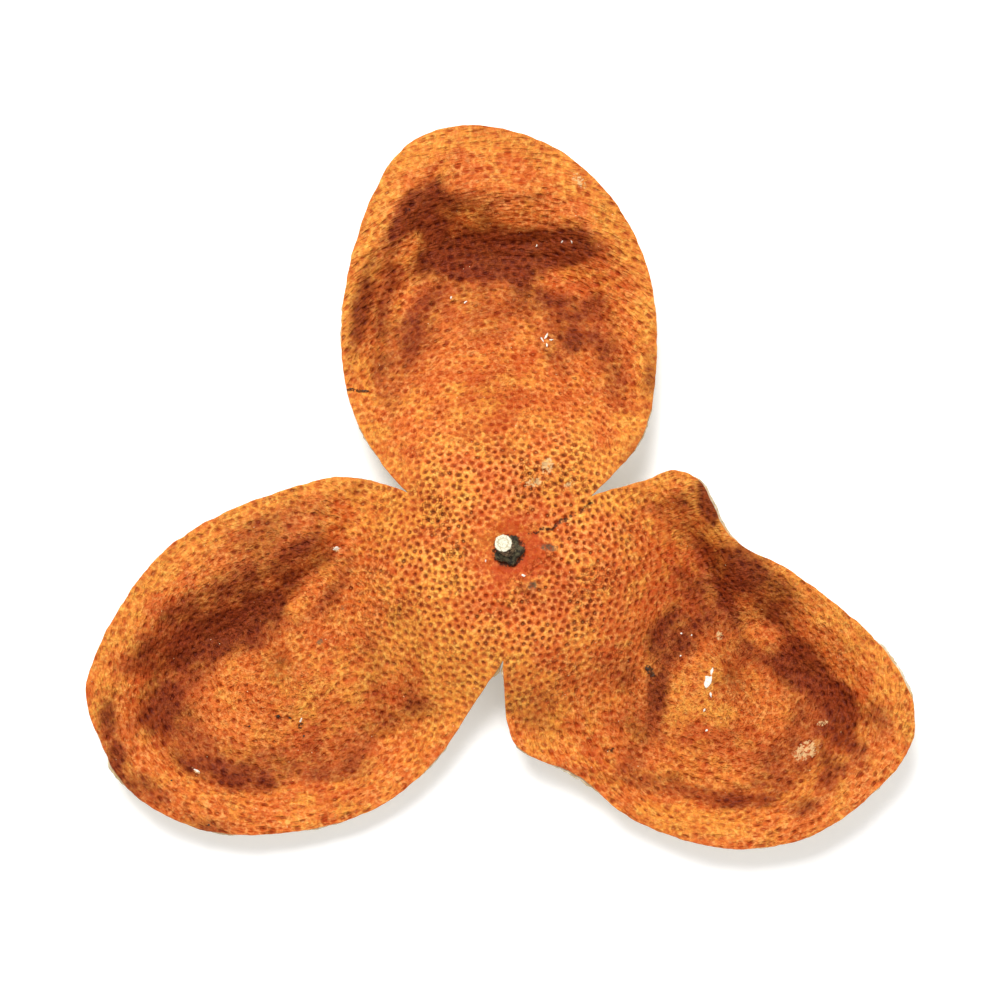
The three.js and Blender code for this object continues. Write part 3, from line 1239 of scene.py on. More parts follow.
@dataclass(frozen=True)
class RindFinish:
    """The dried rind: dark sunken pits, partly painted shade, in a web of yellow ridges, wrinkles with
    painted light on their crests and painted shade in their valleys, and painted shade and light over
    the dishes.
    """

    ridge: Color = srgb(236, 138, 62)
    golden: Color = srgb(240, 162, 62)
    # Painted highlights on the ridges.
    ridge_highlight: Color = srgb(252, 176, 100)
    gold_ridge_highlight: Color = srgb(250, 190, 92)
    between: Color = srgb(198, 78, 16)
    # The colour of the thin dark lines and specks, and of the painted shade in the wrinkles' valleys.
    dark_and_valley_shade: Color = srgb(108, 30, 4)
    # The pits: their own darker colour and painted shade.
    pit: Color = srgb(96, 32, 4)
    pit_floor: Color = srgb(54, 22, 4)
    # A painted glint in the middle of some pits.
    pit_glint: Color = srgb(196, 140, 80)
    red: Color = srgb(172, 54, 12)
    # Painted shade on the dishes' walls and in their hollows, lighter on the ridges.
    hollow: Color = srgb(74, 14, 2)
    shade_on_ridges: Color = srgb(158, 60, 18)
    scar: Color = srgb(220, 182, 128)
    # Soot, and the painted shade in the cracks and round the calyx's foot.
    soot: Color = srgb(40, 24, 16)
    grey: Color = srgb(100, 86, 64)
    gloss: float = 0.12
    smoothest: float = 0.40
    relief_depth: float = 0.19
    relief_strength: float = 0.95

    def material(self) -> bpy.types.Material:
        """Builds the material.

        Returns:
            The material.
        """
        s = Sketch("rind")
        pattern = RindPattern(s)
        color = self._ridges(s, pattern)
        color = self._pits(s, pattern, color)
        color = self._shade(s, pattern, color)
        color, rough = self._stains_and_shade(s, color)
        rough = s.plus(rough, s.times(pattern.fine, 0.16), clamp=True)
        relief = self._relief(s, pattern)
        normal = s.bump(relief, self.relief_depth, self.relief_strength)
        return s.finish(color, rough, normal, self.gloss)

    def _ridges(self, s: Sketch, pattern: RindPattern) -> Socket:
        """Colours the ridges, the rind between them and its thin dark lines, with painted shade in the
        wrinkles' valleys.

        Args:
            s: the material.
            pattern: its patterns.

        Returns:
            The colour so far.
        """
        gold = pattern.gold
        color = s.mix(s.times(gold, 0.5), self.between, self.ridge)
        # Painted shade in the wrinkles' valleys.
        color = s.mix(s.times(pattern.dark_and_valley_shade, 0.6), color, self.dark_and_valley_shade)
        color = s.mix(pattern.bright, color, s.mix(gold, self.ridge, self.golden))
        # Painted highlights on the ridges.
        color = s.mix(pattern.ridge_highlight, color, s.mix(gold, self.ridge_highlight, self.gold_ridge_highlight))
        color = s.mix(s.times(pattern.crinkle, 0.7), color, self.dark_and_valley_shade)
        color = s.mix(s.step(pattern.fine, 0.36, 0.60, 0.12, 0.0), color, self.dark_and_valley_shade)
        speckle = s.times(s.step(pattern.broken, 0.40, 0.58, 0.26, 0.0), pattern.calm)
        return s.mix(speckle, color, self.dark_and_valley_shade)

    def _pits(self, s: Sketch, pattern: RindPattern, color: Socket) -> Socket:
        """Colours the pits dark, partly their own colour and partly painted shade, some of them with a
        painted glint in the middle.

        Args:
            s: the material.
            pattern: its patterns.
            color: the colour of the rind round the pits.

        Returns:
            The colour so far.
        """
        # The pits: their own darker colour and painted shade.
        floor = s.mix(pattern.shade, self.pit, self.pit_floor)
        color = s.mix(s.times(pattern.pit, 0.9), color, floor)
        # A painted glint in the middle of some pits.
        lit = s.times(s.step(pattern.radius, 0.02, 0.10, 1.0, 0.0), s.step(pattern.shade, 0.66, 0.8))
        return s.mix(s.times(lit, 0.5), color, self.pit_glint)

    def _relief(self, s: Sketch, pattern: RindPattern) -> Socket:
        """The height of what is finer than the mesh.

        Args:
            s: the material.
            pattern: its patterns.

        Returns:
            The height, of which 1 is the relief's depth.
        """
        relief = s.minus(s.times(pattern.fine, 0.45), s.times(pattern.sunken, 0.8))
        relief = s.plus(relief, s.times(pattern.broken, 0.35))
        relief = s.minus(relief, s.times(pattern.crinkle, 0.5))
        return s.plus(relief, s.times(pattern.crepe, s.step(pattern.folds, 0.0, 0.18, 0.9, 0.0)))

    def _shade(self, s: Sketch, pattern: RindPattern, color: Socket) -> Socket:
        """Reddens a colour in patches, and lays painted shade over it on the dishes' walls and in their
        hollows.

        Args:
            s: the material.
            pattern: its patterns.
            color: the colour to change.

        Returns:
            The colour so far.
        """
        red = s.plus(s.value(PaintChannel.RED.value), s.step(pattern.drift, 0.30, 0.70, 0.35, -0.35))
        color = s.mix(s.times(s.step(red, 0.0, 1.1), 0.55), color, self.red)
        # Painted shade, lighter where the ridges are.
        dark = s.mix(s.times(pattern.bright, 0.8), self.hollow, self.shade_on_ridges)
        return s.mix(s.step(s.value(PaintChannel.PAINTED_SHADE_AND_LIGHT.value), 0.0, 1.0, 0.0, 0.92), color, dark)

    def _stains_and_shade(self, s: Sketch, color: Socket) -> tuple[Socket, Socket]:
        """Lays the scars, the soot with the painted shade in the cracks and the painted shadow round the
        calyx's foot, and the grey bloom over a colour.

        Args:
            s: the material.
            color: the colour under them.

        Returns:
            The colour, and the roughness, which the dry stains raise.
        """
        torn = s.step(s.noise(0.5, 3.0, 0.7), 0.30, 0.70, 0.25, 1.75)
        scar = s.step(s.times(s.value(PaintChannel.SCAR.value), torn), 0.45, 0.85)
        # Soot marks, with painted shade in the cracks and a painted shadow round the calyx's foot.
        soot = s.step(s.times(s.value(PaintChannel.SOOT_AND_SHADE.value), torn), 0.35, 0.8)
        grey = s.step(s.times(s.value(PaintChannel.GREY.value), torn), 0.25, 0.95)
        color = s.mix(s.times(grey, 0.8), color, self.grey)
        color = s.mix(s.times(soot, 0.86), color, self.soot)
        color = s.mix(s.times(scar, 0.82), color, self.scar)
        return color, s.plus(s.times(s.larger(scar, grey), 0.22), self.smoothest)


@dataclass(frozen=True)
class PithFinish:
    """The dried pith: cream, spongy and dull, yellower where the rind shows through."""

    cream: Color = srgb(232, 222, 196)
    warm: Color = srgb(214, 184, 134)
    shade: Color = srgb(176, 140, 92)

    def material(self) -> bpy.types.Material:
        """Builds the material.

        Returns:
            The material.
        """
        s = Sketch("pith")
        color = s.mix(s.step(s.noise(3.5, 3.0), 0.42, 0.68), self.cream, self.warm)
        hollow = s.step(s.cells(1.25), 0.02, 0.22, 1.0, 0.0)
        color = s.mix(s.times(hollow, 0.35), color, self.shade)
        color = s.mix(s.step(s.noise(0.8, 4.0, 0.7), 0.56, 0.74, 0.0, 0.45), color, self.shade)
        sponge = s.plus(s.noise(0.25, 3.0, 0.7), s.times(s.noise(0.9, 2.0), 0.8))
        return s.finish(color, 0.86, s.bump(sponge, 0.22, 0.8), 0.2)


@dataclass(frozen=True)
class FibreFinish:
    """The strands in the pith, drier and paler than it."""

    pale: Color = srgb(238, 230, 206)
    tan: Color = srgb(196, 166, 116)

    def material(self) -> bpy.types.Material:
        """Builds the material.

        Returns:
            The material.
        """
        s = Sketch("fibre")
        color = s.mix(s.step(s.noise(1.6, 3.0), 0.44, 0.66), self.pale, self.tan)
        return s.finish(color, 0.8, s.bump(s.noise(0.2, 2.0), 0.08, 0.7), 0.25)


@dataclass(frozen=True)
class CalyxFinish:
    """The dried calyx: a dark, rough brown green with pale dust in its folds."""

    dark: Color = srgb(36, 29, 20)
    olive: Color = srgb(92, 84, 58)
    dust: Color = srgb(150, 138, 108)

    def material(self) -> bpy.types.Material:
        """Builds the material.

        Returns:
            The material.
        """
        s = Sketch("calyx")
        color = s.mix(s.step(s.noise(0.7, 4.0, 0.7), 0.40, 0.62), self.dark, self.olive)
        dusty = s.step(s.noise(0.35, 3.0, 0.7), 0.60, 0.72, 0.0, 0.8)
        color = s.mix(dusty, color, self.dust)
        return s.finish(color, 0.8, s.bump(s.noise(0.18, 4.0, 0.7), 0.12, 0.9), 0.3)


@dataclass(frozen=True)
class StalkFinish:
    """The stalk's stump: dark bark, and a pale cut face with a ring and a pith dot."""

    cut: Color = srgb(238, 232, 208)
    cut_shade: Color = srgb(176, 160, 122)
    bark: Color = srgb(58, 48, 34)

    def material(self) -> bpy.types.Material:
        """Builds the material.

        Returns:
            The material.
        """
        s = Sketch("stalk")
        face = s.mix(s.step(s.noise(0.22, 4.0, 0.75), 0.45, 0.66), self.cut, self.cut_shade)
        ring = s.off(s.value("face_radius"), 0.58)
        face = s.mix(s.step(ring, 0.03, 0.12, 0.55, 0.0), face, self.cut_shade)
        bark = s.mix(s.step(s.noise(0.4, 4.0, 0.7), 0.45, 0.65), self.bark, self.cut_shade)
        color = s.mix(s.step(s.value("cut_face"), 0.35, 0.65), bark, face)
        return s.finish(color, 0.78, s.bump(s.noise(0.12, 3.0, 0.7), 0.08, 0.8), 0.3)


@dataclass(frozen=True)
class FleckFinish:
    """Dry flakes and grains that stick to the rind."""

    name: str
    main: Color
    shade: Color
    roughness: float = 0.7

    def material(self) -> bpy.types.Material:
        """Builds the material.

        Returns:
            The material.
        """
        s = Sketch(self.name)
        color = s.mix(s.step(s.noise(0.3, 3.0, 0.7), 0.42, 0.66), self.main, self.shade)
        return s.finish(color, self.roughness, s.bump(s.noise(0.1, 2.0), 0.05, 0.7), 0.4)


@dataclass(frozen=True)
class FloorFinish:
    """A plain pale floor with the faintest unevenness."""

    pale: Color = (0.90, 0.90, 0.90)
    shade: Color = (0.885, 0.885, 0.885)
    glow: float = 0.22

    def material(self) -> bpy.types.Material:
        """Builds the material.

        Returns:
            The material.
        """
        s = Sketch("floor")
        color = s.mix(s.step(s.noise(40.0, 2.0), 0.4, 0.6), self.pale, self.shade)
        made = s.finish(color, 0.9, None, 0.1)
        s.shader.inputs["Emission Color"].default_value = (*self.pale, 1.0)
        s.shader.inputs["Emission Strength"].default_value = self.glow
        return made


# ---- the rind ------------------------------------------------------------------------------------


@dataclass(frozen=True)
class PaintPatch:
    """A patch of the rind's paint, for a mark or for painted shade or light: its place, direction, half
    length and half width in mm, and strength.
    """

    x: float
    y: float
    towards: float
    length: float
    width: float
    strength: float = 1.0

    def share(self, x: np.ndarray, y: np.ndarray) -> np.ndarray:
        """How strongly each place is painted.

        Args:
            x: places in mm.
            y: places in mm.

        Returns:
            From 0 to its strength for each place.
        """
        along, across = turned(x - self.x, y - self.y, self.towards)
        away = np.hypot(along / self.length, across / self.width)
        return self.strength * (1.0 - ease(0.2, 1.5, away))


def paint_patches(*rows: tuple[float, ...]) -> tuple[PaintPatch, ...]:
    """Patches of one channel of paint, each given by the numbers of a patch in their order."""
    return tuple(PaintPatch(*row) for row in rows)


PAINT_PATCHES: dict[PaintChannel, tuple[PaintPatch, ...]] = {
    PaintChannel.SCAR: paint_patches(
        (30.4, -11.2, 70.0, 0.8, 0.6),
        (43.0, -27.7, 35.0, 2.64, 1.68, 0.8),
        (45.5, -23.6, 20.0, 1.08, 0.6, 0.8),
        (5.6, 12.2, 70.0, 1.56, 1.08, 0.85),
        (3.6, 9.8, 20.0, 1.8, 0.84, 0.75),
        (8.6, 9.6, 20.0, 1.2, 0.6, 0.65),
        (10.2, 54.9, -50.0, 1.92, 0.96, 0.7),
        (-45.1, -30.6, -30.0, 0.8, 0.3),
        (-24.8, 1.1, 0.0, 0.9, 0.4),
    ),
    PaintChannel.SOOT_AND_SHADE: paint_patches(
        (20.3, -16.5, -50.0, 1.2, 0.7),
        (14.6, -27.7, 10.0, 0.8, 0.5, 0.8),
        (-22.0, 24.3, -4.0, 2.3, 0.35, 0.9),
        (-14.8, 50.6, 40.0, 0.9, 0.5, 0.6),
        (-30.1, -24.2, 30.0, 0.7, 0.4),
        (-33.3, -22.9, -30.0, 0.9, 0.3),
    ),
    PaintChannel.GREY: paint_patches(
        (5.7, 0.4, -8.0, 1.7, 0.6, 0.85),
        (3.4, -5.0, 70.0, 0.9, 0.7, 0.9),
        (-27.1, -12.1, 20.0, 0.8, 0.5, 0.8),
        (-23.9, -7.2, 20.0, 0.7, 0.5, 0.7),
    ),
    PaintChannel.RED: paint_patches(
        (0.0, 0.0, 0.0, 6.2, 5.6, 0.75),
        (3.0, 23.0, 30.0, 9.0, 6.0, 0.5),
        (6.0, -12.0, 70.0, 6.0, 3.5, 0.35),
        (24.0, -3.0, -40.0, 9.0, 6.0, 0.45),
    ),
    # Yellow tone in patches, several of them painted light on the dome's lit flanks.
    PaintChannel.GOLD_AND_LIGHT: paint_patches(
        (-4.6, 19.6, 80.0, 6.0, 4.5, 0.8),
        (23.0, 4.6, 0.0, 3.6, 2.6, 0.9),
        (26.0, -38.3, -5.0, 12.0, 2.4, 0.9),
        (-8.6, -17.6, 60.0, 7.0, 4.5, 1.0),
        (4.8, -22.0, 100.0, 6.0, 4.0, 0.8),
        (-16.2, 4.6, 0.0, 6.0, 5.0, 1.0),
        (-12.0, -9.0, 60.0, 11.0, 6.0),
        (-10.0, 7.0, 50.0, 6.0, 5.0, 0.8),
        (8.0, 12.0, 20.0, 9.0, 5.0, 0.6),
        (-24.0, -19.0, 30.0, 9.0, 5.0, 0.6),
        (28.0, -20.0, -30.0, 7.0, 5.0, 0.5),
    ),
    # Painted shade on the dishes' walls, in their hollows and round the stem; below 0, painted light.
    PaintChannel.PAINTED_SHADE_AND_LIGHT: paint_patches(
        (-11.8, 52.6, 60.0, 3.0, 1.6, 0.6),
        (0.0, 0.0, 0.0, 2.4, 2.4, 0.5),
        (-2.0, 43.5, -4.0, 8.5, 2.4, 1.0),
        (9.5, 45.0, 10.0, 4.0, 1.5, 0.8),
        (-14.0, 50.6, 58.0, 4.8, 2.4, 1.0),
        (-21.6, 35.5, 80.0, 7.0, 1.8, 0.9),
        (-2.6, 45.4, 0.0, 5.0, 2.2, 1.3),
        (-7.0, 48.8, 30.0, 3.0, 1.6, -0.7),
        (-4.4, 34.0, 0.0, 6.0, 3.0, 0.4),
        (8.6, 46.2, 4.0, 4.4, 1.6, 0.9),
        (-11.2, 53.6, 40.0, 3.4, 1.8, 0.8),
        (20.6, 26.0, 85.0, 6.0, 1.4, 0.6),
        (-14.2, 45.6, 60.0, 3.6, 2.0, -0.8),
        (11.4, 29.0, 80.0, 3.0, 2.0, -0.7),
        (13.0, 51.5, -50.0, 5.0, 2.6, -0.8),
        (19.2, 43.6, -70.0, 6.0, 2.0, -0.8),
        (-2.5, 60.4, 0.0, 7.0, 1.8, -0.8),
        (2.6, 50.0, 0.0, 5.0, 1.8, -1.0),
        (9.4, 41.6, -6.0, 4.8, 2.4, -1.0),
        (-15.5, 40.0, 70.0, 4.5, 2.0, -0.6),
        (6.5, 30.0, -60.0, 5.0, 2.0, 0.5),
        (19.0, 15.5, 50.0, 4.0, 2.4, 0.5),
        (0.0, 36.5, 0.0, 11.0, 5.0, 0.45),
        (9.8, 31.5, -40.0, 4.2, 2.8, 0.6),
        (-21.0, 34.0, 70.0, 5.0, 2.6, 0.35),
        (-12.0, 33.0, 50.0, 6.0, 3.4, 0.3),
        (33.2, -1.6, -30.0, 5.0, 3.4, 1.0),
        (28.6, 8.0, -75.0, 4.0, 1.6, 0.9),
        (24.2, 2.6, 0.0, 4.6, 3.6, -1.0),
        (10.6, -25.4, -16.0, 7.0, 3.2, -1.0),
        (30.6, -30.4, 0.0, 5.0, 2.4, -0.8),
        (48.0, -14.6, -40.0, 4.0, 3.0, -0.8),
        (32.0, -1.0, -60.0, 3.6, 2.4, 1.0),
        (36.4, -9.6, -50.0, 5.0, 2.2, -0.9),
        (42.4, -36.2, 0.0, 3.0, 2.0, 0.8),
        (22.6, -11.0, 60.0, 4.0, 2.2, 0.9),
        (47.6, -20.0, -50.0, 3.6, 1.8, 0.9),
        (46.4, -31.0, 60.0, 4.4, 2.4, 0.8),
        (23.6, -36.4, -8.0, 7.0, 1.8, -0.9),
        (13.0, -21.0, 0.0, 4.4, 2.6, -0.8),
        (22.8, -28.8, 0.0, 4.0, 2.0, -0.8),
        (44.6, -38.8, 30.0, 3.6, 2.4, -0.8),
        (21.6, -19.4, 80.0, 5.0, 1.8, 0.8),
        (52.6, -23.6, -60.0, 3.2, 2.4, 0.8),
        (3.4, -5.6, 0.0, 2.6, 1.6, 0.5),
        (-15.0, -9.6, -30.0, 5.0, 2.4, 0.35),
        (41.5, -15.5, -44.0, 5.4, 2.6, 0.8),
        (48.6, -25.5, -66.0, 6.0, 2.8, 0.8),
        (24.6, -12.5, 52.0, 5.4, 2.6, 0.75),
        (33.5, -14.5, 0.0, 5.0, 2.0, 0.4),
        (35.0, -35.4, 4.0, 6.5, 1.4, 0.5),
        (12.0, -31.4, -14.0, 7.0, 0.9, 0.4),
        (-51.5, -22.0, 60.0, 5.4, 3.6, 0.8),
        (-40.0, -31.5, -16.0, 8.5, 2.2, 0.65),
        (-54.8, -33.0, -50.0, 3.8, 2.6, 0.8),
        (-52.0, -18.6, 50.0, 4.6, 2.4, -0.8),
        (-26.4, -35.0, -10.0, 8.0, 2.6, -0.7),
        (-56.4, -29.0, -80.0, 3.4, 2.0, 1.0),
        (-51.5, -33.6, -40.0, 4.0, 2.0, 0.7),
        (-34.5, -9.5, 46.0, 4.5, 2.2, 0.6),
        (-34.6, 3.0, 28.0, 10.5, 4.0, 0.55),
        (-27.4, 5.6, 60.0, 4.0, 1.8, 0.6),
        (-22.6, 5.4, 30.0, 4.6, 3.0, -1.0),
        (-43.6, -12.2, 10.0, 4.4, 2.2, 0.9),
        (-29.0, -3.8, 52.0, 8.0, 2.2, -0.9),
        (-57.4, -24.4, 85.0, 4.6, 1.8, 0.9),
        (-43.5, -38.6, -10.0, 5.0, 1.6, 0.7),
        (-12.4, -34.6, 40.0, 5.0, 2.0, 0.7),
        (-15.6, -26.6, 30.0, 5.0, 2.6, -0.7),
        (-7.6, -18.0, 60.0, 4.0, 2.6, -0.6),
        (-19.5, -12.0, -60.0, 5.0, 2.6, 0.3),
    ),
}


@dataclass
class Rind:
    """The coloured skin: a thin closed shell whose fine mesh follows every oil gland."""

    skin: Surface
    glands: Glands
    finish: RindFinish = field(default_factory=RindFinish)
    thickness: float = 0.42
    ragged: float = 0.10
    inner_rings: tuple[tuple[int, float], ...] = ((5, 0.17), (7, 0.34))
    backing_step: float = 1.7
    longer: float = 0.7
    hoop_middles: tuple[tuple[float, float], ...] = (
        (-33.0, -15.0),
        (32.0, -17.0),
        (0.0, 14.0),
        (-33.0, -15.0),
    )
    hoop_radius: float = 18.0
    shade_side: tuple[float, float, float] = (0.25, -0.9, 0.0)
    edge_margin: float = 0.26
    backing_margin: float = 0.8
    edge_rings: tuple[tuple[float, float], ...] = ((0.07, 0.05), (0.11, 0.18), (0.08, 0.36))
    cracks: int = 2
    # The painted shade in the cracks, and the painted shadow ring round the calyx's foot.
    crack_shade: float = 0.8
    calyx_foot_shadow: float = 0.7

    def __post_init__(self) -> None:
        """Keeps the form at hand."""
        self.form = self.skin.form

    def build(self) -> bpy.types.Object:
        """Makes the rind.

        Returns:
            The piece, standing for the construction's peel.
        """
        outline = self.cut_edge()
        places = self.glands.scatter(self.form)
        inner = self._surface_points(places, outline)
        flat, faces = patch(outline, inner)
        surface = self.skin.points(flat[:, 0], flat[:, 1])
        normals = self.form.normals(flat[:, 0], flat[:, 1])
        centres, owner, local = self._gland_charts(places, surface, normals, faces)
        kinds = self._gland_kinds(places)
        top = self._sunk(surface, normals, centres, kinds)
        points, shell = self._shell(outline, top, faces)
        mesh = new_mesh("rind", points, shell, self.form.stem)
        self._store_charts(mesh, len(faces), owner, local, kinds)
        self._store_paint(mesh, points, centres[2])
        piece = new_piece(mesh, self.finish.material())
        log.info("rind: %d oil glands", len(places))
        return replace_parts(piece, "peel")

    def cut_edge(self) -> np.ndarray:
        """The outline with the small raggedness of a torn and dried edge.

        Returns:
            The closed line's points.
        """
        loop = self.form.outline
        along = self.form.edge_lengths
        wave = Grain(2.6, 41, 3).at(along, np.zeros_like(along))
        calm = ease(0.5, 3.0, self.form.away_from_notches(loop))
        return loop + outward(loop) * (self.ragged * wave * calm)[:, None]

    def _surface_points(self, places: np.ndarray, outline: np.ndarray) -> np.ndarray:
        """The mesh points: each gland's middle and rings, and the ridges between glands.

        Args:
            places: the glands' places.
            outline: the cut edge.

        Returns:
            The points inside the edge.
        """
        normals = self.form.normals(places[:, 0], places[:, 1])
        pitch = self.glands.pitch(places[:, 0], places[:, 1])
        turn = np.random.default_rng(5).random(len(places)) * 2 * math.pi
        sets = [places]
        for count, share in self.inner_rings:
            for k in range(count):
                angle = turn + 2 * math.pi * k / count
                sets.append(places + self._in_plan(angle, share * pitch, normals))
        rim = outline[::4]
        ends, triangles = patch(rim, places)
        sets.append(ends[triangles].mean(axis=1))
        pairs = np.sort(triangles[:, [[0, 1], [1, 2], [2, 0]]].reshape(-1, 2), axis=1)
        pairs = np.unique(pairs, axis=0)
        pairs = pairs[pairs[:, 0] >= len(rim)]
        sets.append(ends[pairs].mean(axis=1))
        return self.form.within(np.concatenate(sets), self.edge_margin)

    @staticmethod
    def _in_plan(angle: np.ndarray, reach: np.ndarray, normals: np.ndarray) -> np.ndarray:
        """A step along the sloping surface, seen from above.

        Args:
            angle: its direction on the surface.
            reach: its length on the surface.
            normals: the surface's normals.

        Returns:
            The step's two parts.
        """
        step = np.stack([np.cos(angle), np.sin(angle)], axis=1)
        level = np.hypot(normals[:, 0], normals[:, 1])
        downhill = normals[:, :2] / np.maximum(level, 1e-6)[:, None]
        along = (step * downhill).sum(axis=1, keepdims=True)
        return (step + downhill * along * (normals[:, 2:3] - 1.0)) * reach[:, None]

    def _gland_charts(
        self,
        places: np.ndarray,
        surface: np.ndarray,
        normals: np.ndarray,
        faces: np.ndarray,
    ) -> tuple[tuple[np.ndarray, np.ndarray, np.ndarray], np.ndarray, np.ndarray]:
        """Gives each point and each triangle its gland.

        Args:
            places: the glands' places.
            surface: the mesh points.
            normals: the form's normals at the points.
            faces: the triangles.

        Returns:
            For the points: their glands, the distances to them, and how much nearer these are
            than the next ones. For the triangles: their glands, and where their corners lie about
            their gland's middle, along the grain's way and across it. Lengths are in pitches.
        """
        middles = self.skin.points(places[:, 0], places[:, 1])
        tree = KDTree(len(middles))
        for index, middle in enumerate(middles.tolist()):
            tree.insert(middle, index)
        tree.balance()
        found = [tree.find_n(point, 2) for point in surface.tolist()]
        nearest = np.array([pair[0][1] for pair in found])
        pitch = self.glands.pitch(places[:, 0], places[:, 1])
        away = np.array([pair[0][2] for pair in found]) / pitch[nearest]
        lead = np.array([pair[1][2] for pair in found]) / pitch[nearest] - away
        heart = surface[faces].mean(axis=1)
        owner = np.array([tree.find(point)[1] for point in heart.tolist()])
        up = normals[faces].mean(axis=1)
        up /= np.linalg.norm(up, axis=1, keepdims=True)
        dx, dy = self.skin.crepe.grainway.direction(places[owner, 0], places[owner, 1])
        across = np.cross(up, np.stack([dx, dy, np.zeros_like(dx)], axis=1))
        across /= np.linalg.norm(across, axis=1, keepdims=True)
        along = np.cross(across, up)
        stretch = 1.0 + self.longer * self.skin.amount.at(places[owner, 0], places[owner, 1])
        offset = (surface[faces] - middles[owner][:, None, :]) / pitch[owner][:, None, None]
        u = (offset * along[:, None]).sum(2) / stretch[:, None]
        v = (offset * across[:, None]).sum(2) * np.sqrt(stretch)[:, None]
        return (nearest, away, lead), owner, np.stack([u, v], axis=2)

    def _gland_kinds(self, places: np.ndarray) -> np.ndarray:
        """Three numbers for each gland: its size by chance, how far it shows, and its shade.

        Args:
            places: the glands' places.

        Returns:
            A row for each gland.
        """
        rng = np.random.default_rng(8)
        radius = np.hypot(places[:, 0], places[:, 1])
        shown = ease(self.glands.smooth_radius - 2.4, self.glands.smooth_radius + 3.4, radius)
        shown *= 0.60 + 0.50 * rng.random(len(places))
        size = rng.random(len(places))
        shade = rng.random(len(places))
        return np.stack([size, np.clip(shown, 0.12, 1.0), shade], axis=1)

    def _sunk(
        self,
        surface: np.ndarray,
        normals: np.ndarray,
        centres: tuple[np.ndarray, np.ndarray, np.ndarray],
        kinds: np.ndarray,
    ) -> np.ndarray:
        """The surface with its pits pressed in along the normals.

        Args:
            surface: the mesh points.
            normals: the form's normals there.
            centres: each point's gland, its distance, and its lead.
            kinds: the glands' three numbers.

        Returns:
            The points.
        """
        nearest, away, _ = centres
        size, shown, _ = kinds[nearest].T
        pit = 1.0 - ease(0.08, 0.40 + 0.08 * size, away)
        swell = ease(0.34, 0.5, away) * 0.12
        crepe = self.skin.amount.at(surface[:, 0], surface[:, 1])
        depth = self.glands.depth * shown * (pit - swell) * (1.0 - self.glands.fading * crepe)
        return surface - normals * depth[:, None]

    def _shell(
        self,
        outline: np.ndarray,
        top: np.ndarray,
        faces: np.ndarray,
    ) -> tuple[np.ndarray, np.ndarray]:
        """Closes the surface with a rounded edge and a plain back.

        Args:
            outline: the cut edge.
            top: the surface's points, the edge's first.
            faces: the surface's triangles.

        Returns:
            The closed shell's points and triangles.
        """
        edge = top[: len(outline)]
        calm = ease(0.2, 1.2, self.form.away_from_notches(outline))
        out = level_outward(outline) * calm[:, None]
        down = np.array([0.0, 0.0, -1.0])
        rings = [edge + out * proud + down * drop for proud, drop in self.edge_rings]
        grid = hex_points(self.form.low, self.form.high, self.backing_step)
        flat, back_faces = patch(outline, self.form.within(grid, self.backing_margin))
        back = self.skin.under(flat[:, 0], flat[:, 1], self.thickness)
        return closed_shell((top, faces), rings, (back, back_faces), len(outline))

    def _store_charts(
        self,
        mesh: bpy.types.Mesh,
        painted: int,
        owner: np.ndarray,
        local: np.ndarray,
        kinds: np.ndarray,
    ) -> None:
        """Stores each corner's place about its gland, and the gland's three numbers.

        Args:
            mesh: the rind's mesh.
            painted: how many of its faces look up.
            owner: the gland of each of these.
            local: where their corners lie about it.
            kinds: the glands' three numbers.
        """
        corners = len(mesh.loops)
        chart = np.full((corners, 2), 0.7, dtype=np.float32)
        chart[: painted * 3] = local.reshape(-1, 2)
        kind = np.zeros((corners, 3), dtype=np.float32)
        kind[: painted * 3] = np.repeat(kinds[owner], 3, axis=0)
        way = np.zeros((corners, 2), dtype=np.float32)
        way[: painted * 3] = self._way_chart(mesh, painted) * MM
        mesh.uv_layers.new(name="gland").data.foreach_set("uv", chart.ravel())
        mesh.uv_layers.new(name="way").data.foreach_set("uv", way.ravel())
        layer = mesh.attributes.new("gland_kind", "FLOAT_VECTOR", "CORNER")
        layer.data.foreach_set("vector", kind.ravel())

    def _way_chart(self, mesh: bpy.types.Mesh, painted: int) -> np.ndarray:
        """Each corner's place in mm along the hoops round its petal's dish, and out from its middle.

        Args:
            mesh: the rind's mesh.
            painted: how many of its faces look up.

        Returns:
            Two numbers for each corner of these faces.
        """
        index = np.zeros(len(mesh.loops), dtype=np.int32)
        mesh.loops.foreach_get("vertex_index", index)
        flat = np.zeros(len(mesh.vertices) * 3, dtype=np.float32)
        mesh.vertices.foreach_get("co", flat)
        corner = flat.reshape(-1, 3)[index[: painted * 3]][:, :2] / MM - self.form.stem[:2]
        heart = corner.reshape(-1, 3, 2).mean(axis=1)
        cuts = np.sort(np.arctan2(self.form.notches[:, 1], self.form.notches[:, 0]))
        sector = np.searchsorted(cuts, np.arctan2(heart[:, 1], heart[:, 0]))
        middle = np.array(self.hoop_middles)[sector]
        offset = corner.reshape(-1, 3, 2) - middle[:, None]
        cut = np.arctan2(-middle[:, 1], -middle[:, 0])
        turn = (np.arctan2(offset[:, :, 1], offset[:, :, 0]) - cut[:, None]) % (2 * math.pi)
        split = (turn.max(axis=1) - turn.min(axis=1)) > math.pi
        turn[split] = np.where(turn[split] < math.pi, turn[split] + 2 * math.pi, turn[split])
        reach = np.hypot(offset[:, :, 0], offset[:, :, 1])
        return np.stack([turn * self.hoop_radius, reach], axis=2).reshape(-1, 2)

